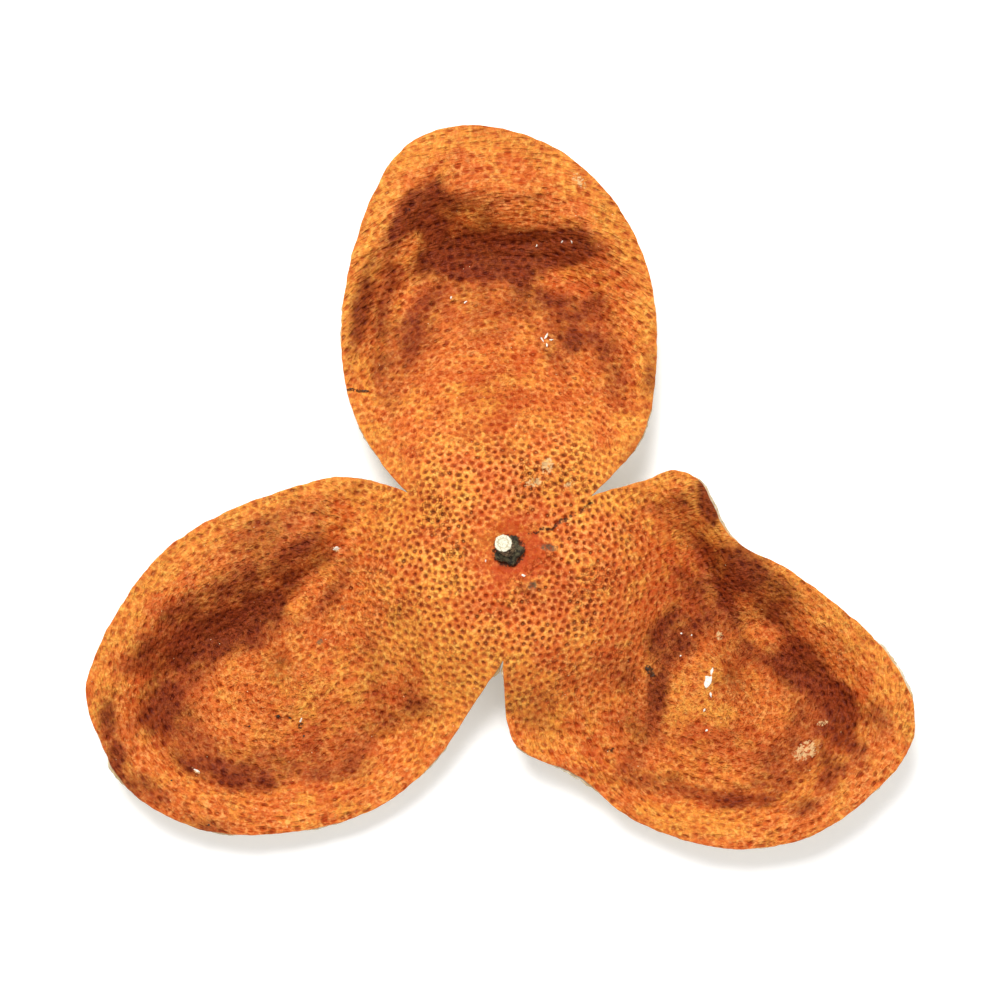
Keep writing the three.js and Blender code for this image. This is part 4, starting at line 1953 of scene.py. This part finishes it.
    def _store_paint(self, mesh: bpy.types.Mesh, points: np.ndarray, lead: np.ndarray) -> None:
        """Stores what the finish reads at each point: the ridges, the wrinkles, the stains, and the
        painted shade and light.

        Args:
            mesh: the rind's mesh.
            points: its points in mm.
            lead: how much nearer its gland each painted point is than the next one.
        """
        x, y = points[:, 0], points[:, 1]
        border = np.full(len(points), 0.5)
        border[: len(lead)] = lead
        amount = self.skin.amount.at(x, y)
        point_values(mesh, "border", border)
        point_values(mesh, "crepe", amount)
        point_values(mesh, "crest", self.skin.crests.at(x, y))
        for paint_channel in PaintChannel:
            point_values(mesh, paint_channel.value, self._paint_channel_share(paint_channel, x, y))

    def _paint_channel_share(self, paint_channel: PaintChannel, x: np.ndarray, y: np.ndarray) -> np.ndarray:
        """How strongly one channel of paint lies on each point: a kind of stain, or the painted shade
        and light.

        Args:
            paint_channel: the channel, a kind of stain or the painted shade and light.
            x: places in mm.
            y: places in mm.

        Returns:
            One value for each point. Below 0 the painted shade channel paints light.
        """
        shares = np.array([paint_patch.share(x, y) for paint_patch in PAINT_PATCHES[paint_channel]])
        total = np.maximum(shares, 0.0).max(axis=0) + np.minimum(shares, 0.0).sum(axis=0)
        if paint_channel is PaintChannel.SOOT_AND_SHADE:
            # Painted shade in the cracks by the stem.
            for crack in self.skin.relief.creases[: self.cracks]:
                total = np.maximum(total, self.crack_shade * crack.share(x, y))
            # A painted shadow ring round the calyx's foot.
            foot = 1.0 - ease(2.0, 3.0, np.hypot(x, y))
            total = np.maximum(total, self.calyx_foot_shadow * foot)
        if paint_channel is PaintChannel.RED:
            total = np.clip(total + 0.2 + 0.35 * Grain(11.0, 51, 2).at(x, y), 0.0, 1.2)
        if paint_channel is PaintChannel.GOLD_AND_LIGHT:
            rim = 1.0 - ease(0.5, 5.5, self.form.edge(x, y))
            total = total + rim * ease(-34.0, -14.0, y)
        if paint_channel is PaintChannel.PAINTED_SHADE_AND_LIGHT:
            # Painted shade on the outer walls that face away from the key light and in the sunk places.
            sunk = self.form.broad.at(x, y) - self.form.rind.at(x, y)
            facing = self.form.normals(x, y) @ np.array(self.shade_side)
            outer = ease(15.0, 27.0, np.hypot(x, y))
            shaded = 0.75 * ease(0.05, 0.6, facing) + 0.6 * ease(0.0, 1.1, sunk)
            total = total + outer * shaded
            total = np.clip(total * (0.9 + 0.3 * Grain(3.0, 52, 2).at(x, y)), -1.0, 1.0)
        return total


# ---- the pith ------------------------------------------------------------------------------------


@dataclass(frozen=True)
class Gape:
    """A stretch of the cut edge where the rind has drawn back and bares the pith."""

    at: tuple[float, float]
    reach: float
    width: float


GAPES: tuple[Gape, ...] = (
    Gape((-1.4, -16.0), 2.0, 0.6),
    Gape((0.8, -29.5), 2.5, 0.5),
    Gape((9.0, -33.0), 4.5, 0.5),
    Gape((29.4, 6.2), 6.5, 0.55),
    Gape((55.0, -17.0), 6.5, 0.55),
    Gape((-57.0, -31.5), 3.0, 0.5),
    Gape((-41.0, -41.3), 2.5, 0.45),
    Gape((21.4, 18.0), 5.0, 0.3),
)


@dataclass
class Pith:
    """The white layer under the rind: it shows at the cut edge and all over the underside."""

    form: PeelForm
    rind: Rind
    finish: PithFinish = field(default_factory=PithFinish)
    step: float = 0.62
    top_step: float = 1.3
    cover: float = 0.36
    least: float = 0.85
    sponge: float = 0.10
    margin: float = 0.4
    top_margin: float = 1.0
    wall_levels: tuple[float, ...] = (0.12, 0.35, 0.6, 0.85)

    def build(self) -> bpy.types.Object:
        """Makes the pith.

        Returns:
            The piece, standing for the construction's peel together with the rind.
        """
        outline = self._outline()
        upper_flat, upper_faces = patch(outline, self._inner(self.top_step, self.top_margin))
        upper = self.rind.skin.under(upper_flat[:, 0], upper_flat[:, 1], self.cover)
        lower_flat, lower_faces = patch(outline, self._inner(self.step, self.margin))
        lower = self.underside(lower_flat[:, 0], lower_flat[:, 1])
        count = len(outline)
        rings = self._wall(outline, upper[:count], lower[:count])
        points, faces = closed_shell((upper, upper_faces), rings, (lower, lower_faces), count)
        mesh = new_mesh("pith", points, faces, self.form.stem)
        piece = new_piece(mesh, self.finish.material())
        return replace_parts(piece, "peel")

    def _outline(self) -> np.ndarray:
        """The pith's edge, which stands a little proud of the rind's where the cut has gaped.

        Returns:
            The closed line's points.
        """
        loop = self.rind.cut_edge()
        along = self.form.edge_lengths
        calm = ease(0.2, 2.0, self.form.away_from_notches(loop))
        gape = 0.25 * ease(0.0, 0.8, Grain(9.0, 61, 2).at(along, np.zeros_like(along)))
        for place in GAPES:
            away = np.hypot(loop[:, 0] - place.at[0], loop[:, 1] - place.at[1])
            gape = np.maximum(gape, place.width * (1.0 - ease(0.4, 1.2, away / place.reach)))
        proud = -0.14 + gape + 0.07 * Grain(1.1, 62, 2).at(along, np.zeros_like(along))
        return loop + outward(loop) * (proud * calm)[:, None]

    def _inner(self, step: float, margin: float) -> np.ndarray:
        """An even grid of points within the outline.

        Args:
            step: the points' spacing.
            margin: how far they keep from the outline.

        Returns:
            The points.
        """
        grid = hex_points(self.form.low, self.form.high, step)
        shift = np.stack([Grain(1.3, 63).at(*grid.T), Grain(1.3, 64).at(*grid.T)], axis=1)
        return self.form.within(grid + 0.12 * step * shift, margin)

    def underside(self, x: np.ndarray, y: np.ndarray) -> np.ndarray:
        """The underside, spongy, never thinner than the least and never under the ground.

        Args:
            x: places in mm.
            y: places in mm.

        Returns:
            The points.
        """
        top = self.rind.skin.under(x, y, self.least)[:, 2]
        z = np.minimum(self.form.underside.at(x, y), top)
        z = z + self.sponge * Grain(1.6, 65, 3).at(x, y) + 0.10 * Grain(5.0, 66, 2).at(x, y)
        return np.stack([x, y, np.maximum(z, 0.0)], axis=1)

    def _wall(self, outline: np.ndarray, above: np.ndarray, below: np.ndarray) -> list[np.ndarray]:
        """The cut face: crumbly, and a little hollow in the middle.

        Args:
            outline: the pith's edge.
            above: the upper patch's edge in space.
            below: the lower patch's edge in space.

        Returns:
            The wall's loops from above to below.
        """
        calm = ease(0.3, 2.0, self.form.away_from_notches(outline))
        out = level_outward(outline) * calm[:, None]
        along = self.form.edge_lengths
        rings = []
        for index, share in enumerate(self.wall_levels):
            level = above * (1.0 - share) + below * share
            bulge = 0.10 * math.sin(math.pi * share)
            crumbs = 0.09 * Grain(0.8, 67 + index, 2).at(along, np.full_like(along, index * 3.0))
            rings.append(level + out * (bulge + crumbs)[:, None])
        return rings


@dataclass
class StrandLines:
    """The courses of strands: their points in mm, the edges between these, and their sizes."""

    points: list[list[float]] = field(default_factory=list)
    edges: list[tuple[int, int]] = field(default_factory=list)
    sizes: list[float] = field(default_factory=list)

    def add(self, point: list[float], size: float, joined: bool) -> None:
        """Adds a point.

        Args:
            point: its place.
            size: how thick the strand is there, where 1 is the thickest.
            joined: whether an edge leads to it from the point before.
        """
        self.points.append(point)
        self.sizes.append(size)
        if joined:
            self.edges.append((len(self.points) - 2, len(self.points) - 1))

    def mesh(self, name: str, stem: np.ndarray) -> bpy.types.Mesh:
        """The lines as a mesh of edges.

        Args:
            name: the mesh's name.
            stem: the stem's place, in mm.

        Returns:
            The mesh, with each point's size stored as "thick".
        """
        mesh = bpy.data.meshes.new(name)
        placed = (np.array(self.points) + stem) * MM
        mesh.from_pydata(placed.tolist(), self.edges, [])
        point_values(mesh, "thick", np.array(self.sizes))
        return mesh


@dataclass
class PithFibres:
    """The strands that run through the pith from the stem, standing a little out of the underside."""

    form: PeelForm
    pith: Pith
    finish: FibreFinish = field(default_factory=FibreFinish)
    strands: int = 30
    radius: float = 0.17
    sides: int = 5
    start: float = 3.0
    step: float = 0.8
    thinning: float = 0.985
    least_size: float = 0.25
    branch_step: float = 0.7
    branch_thinning: float = 0.95
    branch_least_size: float = 0.28
    fork_chance: float = 0.035
    fork_least_size: float = 0.45
    fork_turn: float = 0.5
    edge_margin: float = 1.2
    seed: int = 77

    def build(self) -> bpy.types.Object:
        """Makes the strands.

        Returns:
            The piece.
        """
        rng = np.random.default_rng(self.seed)
        lines = StrandLines()
        for index in range(self.strands):
            angle = 2 * math.pi * (index + 0.6 * rng.random()) / self.strands
            self._strand(angle, rng, lines)
        growth, tube = self._tubes()
        material = self.finish.material()
        values = {"Radius": self.radius * MM, "Sides": self.sides}
        mesh = growth.grow(lines.mesh("strand_lines", self.form.stem), tube, material, values)
        mesh.name = "pith_fibres"
        return new_piece(mesh, material)

    def _strand(self, angle: float, rng: np.random.Generator, lines: StrandLines) -> None:
        """Runs one strand outwards from the stem, with branches, until it comes near the edge.

        Args:
            angle: the direction in which it sets out.
            rng: what its turns and branches are drawn from.
            lines: where it is added.
        """
        x, y = self.start * math.cos(angle), self.start * math.sin(angle)
        heading, size, joined = angle, 1.0, False
        while size > self.least_size:
            heading += rng.normal(0.0, 0.10) - 0.12 * math.sin(heading - angle)
            x, y = x + self.step * math.cos(heading), y + self.step * math.sin(heading)
            point = self._point(x, y, size, 0.05)
            if point is None:
                return
            lines.add(point, size, joined)
            joined = True
            size *= self.thinning
            if rng.random() < self.fork_chance and size > self.fork_least_size:
                branch = heading + rng.choice([-self.fork_turn, self.fork_turn])
                self._branch(x, y, branch, size * 0.7, rng, lines)
                lines.add(point, size, False)

    def _branch(
        self,
        x: float,
        y: float,
        heading: float,
        size: float,
        rng: np.random.Generator,
        lines: StrandLines,
    ) -> None:
        """Runs a side strand until it thins out or comes near the edge.

        Args:
            x: where it starts.
            y: where it starts.
            heading: the direction in which it sets out.
            size: how thick it is at its start.
            rng: what its turns are drawn from.
            lines: where it is added.
        """
        joined = False
        while size > self.branch_least_size:
            point = self._point(x, y, size, 0.04)
            if point is None:
                return
            lines.add(point, size, joined)
            joined = True
            heading += rng.normal(0.0, 0.16)
            x, y = x + self.branch_step * math.cos(heading), y + self.branch_step * math.sin(heading)
            size *= self.branch_thinning

    def _point(self, x: float, y: float, size: float, proud: float) -> Optional[list[float]]:
        """Lays a strand's point against the underside.

        Args:
            x: its place.
            y: its place.
            size: how thick the strand is there.
            proud: how far its middle stands out of the underside, in mm.

        Returns:
            The point, or None near the edge.
        """
        place = np.array([x]), np.array([y])
        if not self.form.inside(*place)[0] or self.form.edge(*place)[0] < self.edge_margin:
            return None
        z = float(self.pith.underside(*place)[0, 2]) + proud
        return [x, y, max(z, 0.13 * size + 0.03)]

    @staticmethod
    def _tubes() -> tuple[Growth, Socket]:
        """The node tree that turns lines into closed tubes.

        Returns:
            The tree, and the tubes' socket.
        """
        growth = Growth("strand_tubes", {"Radius": "NodeSocketFloat", "Sides": "NodeSocketInt"})
        lines = growth.node("GeometryNodeMeshToCurve", {0: growth.given["Geometry"]})[0]
        thick = growth.node("GeometryNodeInputNamedAttribute", {"Name": "thick"}, data_type="FLOAT")
        factors = {0: thick["Attribute"], 1: growth.given["Radius"]}
        radius = growth.node("ShaderNodeMath", factors, operation="MULTIPLY")[0]
        sized = growth.node("GeometryNodeSetCurveRadius", {"Curve": lines, "Radius": radius})[0]
        circle = {"Radius": 1.0, "Resolution": growth.given["Sides"]}
        ring = growth.node("GeometryNodeCurvePrimitiveCircle", circle)["Curve"]
        course = {"Curve": sized, "Profile Curve": ring, "Scale": radius, "Fill Caps": True}
        return growth, growth.node("GeometryNodeCurveToMesh", course)[0]


# ---- calyx and stalk -----------------------------------------------------------------------------


def lathe_grid(rings: Sequence[np.ndarray]) -> tuple[np.ndarray, list[tuple[int, ...]]]:
    """A closed body from a stack of rings of points, closed by a fan at both ends.

    Args:
        rings: the rings from the lowest to the highest, each counterclockwise from above.

    Returns:
        The points and faces, facing out.
    """
    count = len(rings[0])
    points = np.concatenate([*rings, rings[0].mean(0)[None], rings[-1].mean(0)[None]])
    faces: list[tuple[int, ...]] = []
    for ring in range(len(rings) - 1):
        for i in range(count):
            a, b = ring * count + i, ring * count + (i + 1) % count
            faces.append((a, b, b + count, a + count))
    bottom, top = len(points) - 2, len(points) - 1
    last = (len(rings) - 1) * count
    for i in range(count):
        faces.append((bottom, (i + 1) % count, i))
        faces.append((top, last + i, last + (i + 1) % count))
    return points, faces


@dataclass
class Calyx:
    """The dried calyx button: five blunt lobes round a hollow, sitting in the rind's dimple."""

    form: PeelForm
    finish: CalyxFinish = field(default_factory=CalyxFinish)
    around: int = 90
    radius: float = 1.95
    lobes: int = 5
    lobe: float = 0.13
    rise: float = 0.95
    sink: float = 0.35
    turn: float = 0.35
    profile: tuple[tuple[float, float], ...] = (
        (0.86, 0.0),
        (0.97, 0.18),
        (1.03, 0.42),
        (1.02, 0.62),
        (0.95, 0.80),
        (0.84, 0.93),
        (0.72, 1.0),
        (0.60, 0.96),
        (0.50, 0.84),
        (0.40, 0.74),
        (0.24, 0.70),
    )

    def build(self) -> bpy.types.Object:
        """Makes the button.

        Returns:
            The piece, standing for the construction's calyx.
        """
        low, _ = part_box("calyx")
        base = low.z / MM - self.sink
        angles = np.arange(self.around) * 2 * math.pi / self.around
        rings = []
        for index, (reach, share) in enumerate(self.profile):
            wave = 1.0 + self.lobe * np.cos(self.lobes * angles + self.turn) * reach
            rough = 0.07 * Grain(0.55, 81, 2).at(angles * 2.0, np.full_like(angles, index * 0.33))
            radius = self.radius * reach * (wave + rough)
            height = base + (self.rise + self.sink) * share
            lump = 0.10 * Grain(0.5, 82, 2).at(radius * np.cos(angles), radius * np.sin(angles))
            z = height + lump * ease(0.1, 0.5, np.array(share))
            rings.append(np.stack([radius * np.cos(angles), radius * np.sin(angles), z], axis=1))
        points, faces = lathe_grid(rings)
        mesh = new_mesh("calyx_button", points, faces, self.form.stem)
        piece = new_piece(mesh, self.finish.material())
        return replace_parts(piece, "calyx")


@dataclass
class Stalk:
    """The stalk's cut stump, leaning out of the button, with its pale cut face up."""

    form: PeelForm
    finish: StalkFinish = field(default_factory=StalkFinish)
    around: int = 56
    radius: float = 1.26
    lean: tuple[float, float] = (-0.30, 0.24)
    sink: float = 0.5
    short: float = 0.12
    first_cut_ring: int = 6
    profile: tuple[tuple[float, float], ...] = (
        (1.05, 0.0),
        (0.92, 0.25),
        (0.90, 0.5),
        (0.97, 0.75),
        (1.02, 0.90),
        (1.0, 0.965),
        (0.93, 1.0),
        (0.75, 1.0),
        (0.5, 0.99),
        (0.25, 0.985),
    )

    def build(self) -> bpy.types.Object:
        """Makes the stump.

        Returns:
            The piece, standing for the construction's stalk.
        """
        low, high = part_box("stalk")
        foot, head = low.z / MM - self.sink, high.z / MM - self.short
        angles = np.arange(self.around) * 2 * math.pi / self.around
        rings, cut, reaches = [], [], []
        for index, (reach, share) in enumerate(self.profile):
            rough = 0.05 * Grain(0.6, 91, 2).at(angles * 1.5, np.full_like(angles, share * 1.5))
            radius = self.radius * (reach + rough)
            z = foot + (head - foot) * share
            face = 0.04 * Grain(0.4, 92, 2).at(radius * np.cos(angles), radius * np.sin(angles))
            slant = 0.10 * np.cos(angles - 2.4) * reach * ease(0.7, 1.0, np.array(share))
            x = radius * np.cos(angles) + self.lean[0] * (z - foot)
            y = radius * np.sin(angles) + self.lean[1] * (z - foot)
            rings.append(np.stack([x, y, z + slant + face * float(share > 0.95)], axis=1))
            cut.append(np.full(self.around, 1.0 if index >= self.first_cut_ring else 0.0))
            reaches.append(np.full(self.around, reach))
        points, faces = lathe_grid(rings)
        mesh = new_mesh("stalk_stump", points, faces, self.form.stem)
        point_values(mesh, "cut_face", np.concatenate([*cut, [0.0], [1.0]]))
        point_values(mesh, "face_radius", np.concatenate([*reaches, [0.0], [0.0]]))
        piece = new_piece(mesh, self.finish.material())
        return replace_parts(piece, "stalk")


# ---- what lies on the rind -----------------------------------------------------------------------


@dataclass(frozen=True)
class Flake:
    """One flake or grain on the rind: its place, direction, half length and half width in mm."""

    at: tuple[float, float]
    towards: float
    length: float
    width: float


WHITE_FLAKES: tuple[Flake, ...] = (
    Flake((28.6, -17.9), 65.0, 0.95, 0.5),
    Flake((29.3, -16.4), 70.0, 0.55, 0.2),
    Flake((29.1, -19.8), 100.0, 0.35, 0.16),
    Flake((28.2, -22.0), 60.0, 0.22, 0.14),
    Flake((28.5, -24.9), 20.0, 0.2, 0.14),
    Flake((24.9, -11.0), 0.0, 0.16, 0.12),
    Flake((26.4, -11.2), 60.0, 0.16, 0.1),
    Flake((24.8, -14.2), 30.0, 0.14, 0.1),
    Flake((2.1, -3.6), -20.0, 0.3, 0.16),
    Flake((-3.3, -1.5), 80.0, 0.2, 0.11),
    Flake((-8.4, 38.6), 80.0, 0.28, 0.13),
    Flake((-6.3, 37.9), 40.0, 0.28, 0.12),
    Flake((5.5, 32.6), 60.0, 0.5, 0.16),
    Flake((4.9, 32.1), 120.0, 0.4, 0.14),
    Flake((6.2, 32.1), 10.0, 0.35, 0.13),
    Flake((5.6, 31.2), 95.0, 0.3, 0.14),
    Flake((4.1, 46.2), 70.0, 0.2, 0.1),
    Flake((7.8, 46.4), 50.0, 0.24, 0.1),
    Flake((9.2, 46.3), 110.0, 0.2, 0.1),
    Flake((-30.0, -23.4), 60.0, 0.34, 0.16),
    Flake((-24.9, 1.2), 5.0, 0.5, 0.24),
    Flake((-45.0, -30.6), -30.0, 0.45, 0.17),
)

DARK_GRAINS: tuple[Flake, ...] = (
    Flake((-33.2, -22.8), 20.0, 0.22, 0.16),
    Flake((-31.5, -23.1), -30.0, 0.26, 0.12),
    Flake((-29.6, -25.6), 60.0, 0.2, 0.14),
    Flake((-37.4, -24.2), 0.0, 0.14, 0.12),
    Flake((-43.0, -38.6), 0.0, 0.16, 0.12),
    Flake((-48.4, -32.2), 0.0, 0.15, 0.12),
    Flake((20.0, -16.2), -40.0, 0.4, 0.2),
    Flake((20.8, -17.1), 30.0, 0.26, 0.16),
    Flake((-20.8, 24.3), 0.0, 0.5, 0.12),
    Flake((-22.8, 24.5), 20.0, 0.3, 0.1),
)


@dataclass
class Flakes:
    """Flakes of one kind, each a small lens bent to the rind that it sticks to."""

    name: str
    rind: Rind
    flakes: tuple[Flake, ...]
    finish: FleckFinish
    slot: Slot
    around: int = 12
    thickness: float = 0.09
    ragged: float = 0.45
    lens: tuple[tuple[float, float], ...] = ((0.7, -0.9), (1.0, 0.0), (0.92, 0.6), (0.55, 1.0))

    def build(self) -> bpy.types.Object:
        """Makes the flakes.

        Returns:
            The piece that holds them all.
        """
        points: list[np.ndarray] = []
        faces: list[tuple[int, ...]] = []
        start = 0
        for index, flake in enumerate(self.flakes):
            made, closed = self._flake(flake, index)
            points.append(made)
            faces += [tuple(start + i for i in face) for face in closed]
            start += len(made)
        mesh = new_mesh(self.name, np.concatenate(points), faces, self.rind.form.stem)
        return new_piece(mesh, self.finish.material())

    def _flake(self, flake: Flake, index: int) -> tuple[np.ndarray, list[tuple[int, ...]]]:
        """One ragged flake as a closed body.

        Args:
            flake: its place and sizes.
            index: its number, which seeds its edge.

        Returns:
            Its points and faces.
        """
        angles = np.arange(self.around) * 2 * math.pi / self.around
        torn = Grain(0.8, 101 + index, 2).at(2.0 * np.cos(angles), 2.0 * np.sin(angles))
        ragged = 1.0 + self.ragged * torn
        c, s = math.cos(math.radians(flake.towards)), math.sin(math.radians(flake.towards))
        rings = []
        for reach, lift in self.lens:
            a = flake.length * reach * ragged * np.cos(angles)
            b = flake.width * reach * ragged * np.sin(angles)
            x, y = flake.at[0] + a * c - b * s, flake.at[1] + a * s + b * c
            ground = self.rind.skin.points(x, y)
            ground[:, 2] += self.thickness * lift
            rings.append(ground)
        return lathe_grid(rings)


@dataclass
class Specks:
    """Fine pale mineral specks scattered over the rind."""

    rind: bpy.types.Object
    finish: FleckFinish
    density: float = 17000.0
    size: float = 0.055
    least_upward: float = 0.3
    smallest: tuple[float, float, float] = (0.5, 0.4, 0.25)
    largest: tuple[float, float, float] = (1.9, 1.1, 0.6)
    seed: int = 4

    def build(self) -> bpy.types.Object:
        """Scatters the specks.

        Returns:
            The piece that holds them all.
        """
        material = self.finish.material()
        growth, lumps = self._lumps()
        values = {"Density": self.density, "Size": self.size * MM, "Seed": self.seed}
        mesh = growth.grow(self.rind.data.copy(), lumps, material, values)
        mesh.name = "specks"
        return new_piece(mesh, material)

    def _lumps(self) -> tuple[Growth, Socket]:
        """The node tree that scatters small lumps over the faces that look up.

        Returns:
            The tree, and the lumps' socket.
        """
        inputs = {"Density": "NodeSocketFloat", "Size": "NodeSocketFloat", "Seed": "NodeSocketInt"}
        growth = Growth("scattered_specks", inputs)
        normal = growth.node("GeometryNodeInputNormal", {})[0]
        z = growth.node("ShaderNodeSeparateXYZ", {0: normal})["Z"]
        kinds = {"data_type": "FLOAT", "operation": "GREATER_THAN"}
        upward = growth.node("FunctionNodeCompare", {"A": z, "B": self.least_upward}, **kinds)[0]
        where = {key: growth.given[key] for key in ("Density", "Seed")}
        where |= {"Mesh": growth.given["Geometry"], "Selection": upward}
        spread = growth.node("GeometryNodeDistributePointsOnFaces", where)
        ball = {"Subdivisions": 1, "Radius": growth.given["Size"]}
        lump = growth.node("GeometryNodeMeshIcoSphere", ball)["Mesh"]
        limits = {"Min": self.smallest, "Max": self.largest}
        scale = growth.node("FunctionNodeRandomValue", limits, data_type="FLOAT_VECTOR")[0]
        place = {key: spread[key] for key in ("Points", "Rotation")}
        place |= {"Instance": lump, "Scale": scale}
        return growth, growth.node("GeometryNodeInstanceOnPoints", place)[0]


# ---- studio --------------------------------------------------------------------------------------


@dataclass
class Studio:
    """A plain pale floor, soft light, and a camera that looks almost straight down."""

    elevation: float = 82.0
    distance: float = 0.6
    frame_width: float = 0.145
    aim: tuple[float, float, float] = (0.0001, -0.0019, 0.005)
    floor_size: float = 3.0
    sky: float = 0.56

    def build(self) -> None:
        """Makes the floor, the lights and the camera."""
        self._floor()
        self._light("key", (-0.18, 0.50, 1.05), 0.5, 13.8)
        self._light("fill", (0.4, -0.5, 1.1), 0.9, 2.2)
        world = bpy.data.worlds.new("sky")
        world.use_nodes = True
        background = world.node_tree.nodes["Background"]
        background.inputs["Color"].default_value = (1.0, 1.0, 1.0, 1.0)
        background.inputs["Strength"].default_value = self.sky
        bpy.context.scene.world = world
        bpy.context.scene.view_settings.view_transform = "Standard"
        bpy.context.scene.view_settings.look = "None"
        self._camera()

    def _floor(self) -> None:
        """Makes the floor, just under the object."""
        half = self.floor_size / 2
        mesh = bpy.data.meshes.new("floor")
        corners = [(-half, -half, 0), (half, -half, 0), (half, half, 0), (-half, half, 0)]
        mesh.from_pydata(corners, [], [(0, 1, 2, 3)])
        mesh.materials.append(FloorFinish().material())
        floor = bpy.data.objects.new("floor", mesh)
        bpy.context.scene.collection.objects.link(floor)

    @staticmethod
    def _light(name: str, place: Sequence[float], size: float, power: float) -> None:
        """Makes one soft square light that looks at the object.

        Args:
            name: its name.
            place: where it stands, in metres.
            size: its side, in metres.
            power: its power, in watts.
        """
        data = bpy.data.lights.new(name, "AREA")
        data.shape = "SQUARE"
        data.size = size
        data.energy = power
        light = bpy.data.objects.new(name, data)
        light.location = place
        light.rotation_euler = (-Vector(place)).to_track_quat("-Z", "Y").to_euler()
        bpy.context.scene.collection.objects.link(light)

    def _camera(self) -> None:
        """Makes the camera."""
        data = bpy.data.cameras.new("camera")
        data.lens = data.sensor_width * self.distance / self.frame_width
        data.clip_end = 10.0
        camera = bpy.data.objects.new("camera", data)
        up = math.radians(self.elevation)
        back = Vector((0.0, -math.cos(up), math.sin(up)))
        camera.location = Vector(self.aim) + back * self.distance
        camera.rotation_euler = (-back).to_track_quat("-Z", "Y").to_euler()
        bpy.context.scene.collection.objects.link(camera)
        bpy.context.scene.camera = camera


# ---- the whole -----------------------------------------------------------------------------------


def main() -> None:
    """Builds every piece, dresses it and puts it in the studio."""
    logging.basicConfig(level=logging.INFO, format="%(name)s: %(message)s")
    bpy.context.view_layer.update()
    form = PeelForm(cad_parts["peel"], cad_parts["calyx"])
    rind = Rind(Surface(form, Relief(), Crepe()), Glands())
    rind_piece = rind.build()
    pith = Pith(form, rind)
    pith.build()
    PithFibres(form, pith).build()
    Calyx(form).build()
    Stalk(form).build()
    white = FleckFinish("white_flake", srgb(244, 238, 226), srgb(214, 200, 176))
    dark = FleckFinish("dark_grain", srgb(44, 28, 20), srgb(92, 60, 40))
    Flakes("white_flakes", rind, WHITE_FLAKES, white, Slot.STALK).build()
    Flakes("dark_grains", rind, DARK_GRAINS, dark, Slot.CALYX).build()
    Specks(rind_piece, FleckFinish("speck", srgb(250, 228, 184), srgb(240, 196, 130), 0.35)).build()
    Studio().build()
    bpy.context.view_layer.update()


if __name__ == "__main__":
    main()
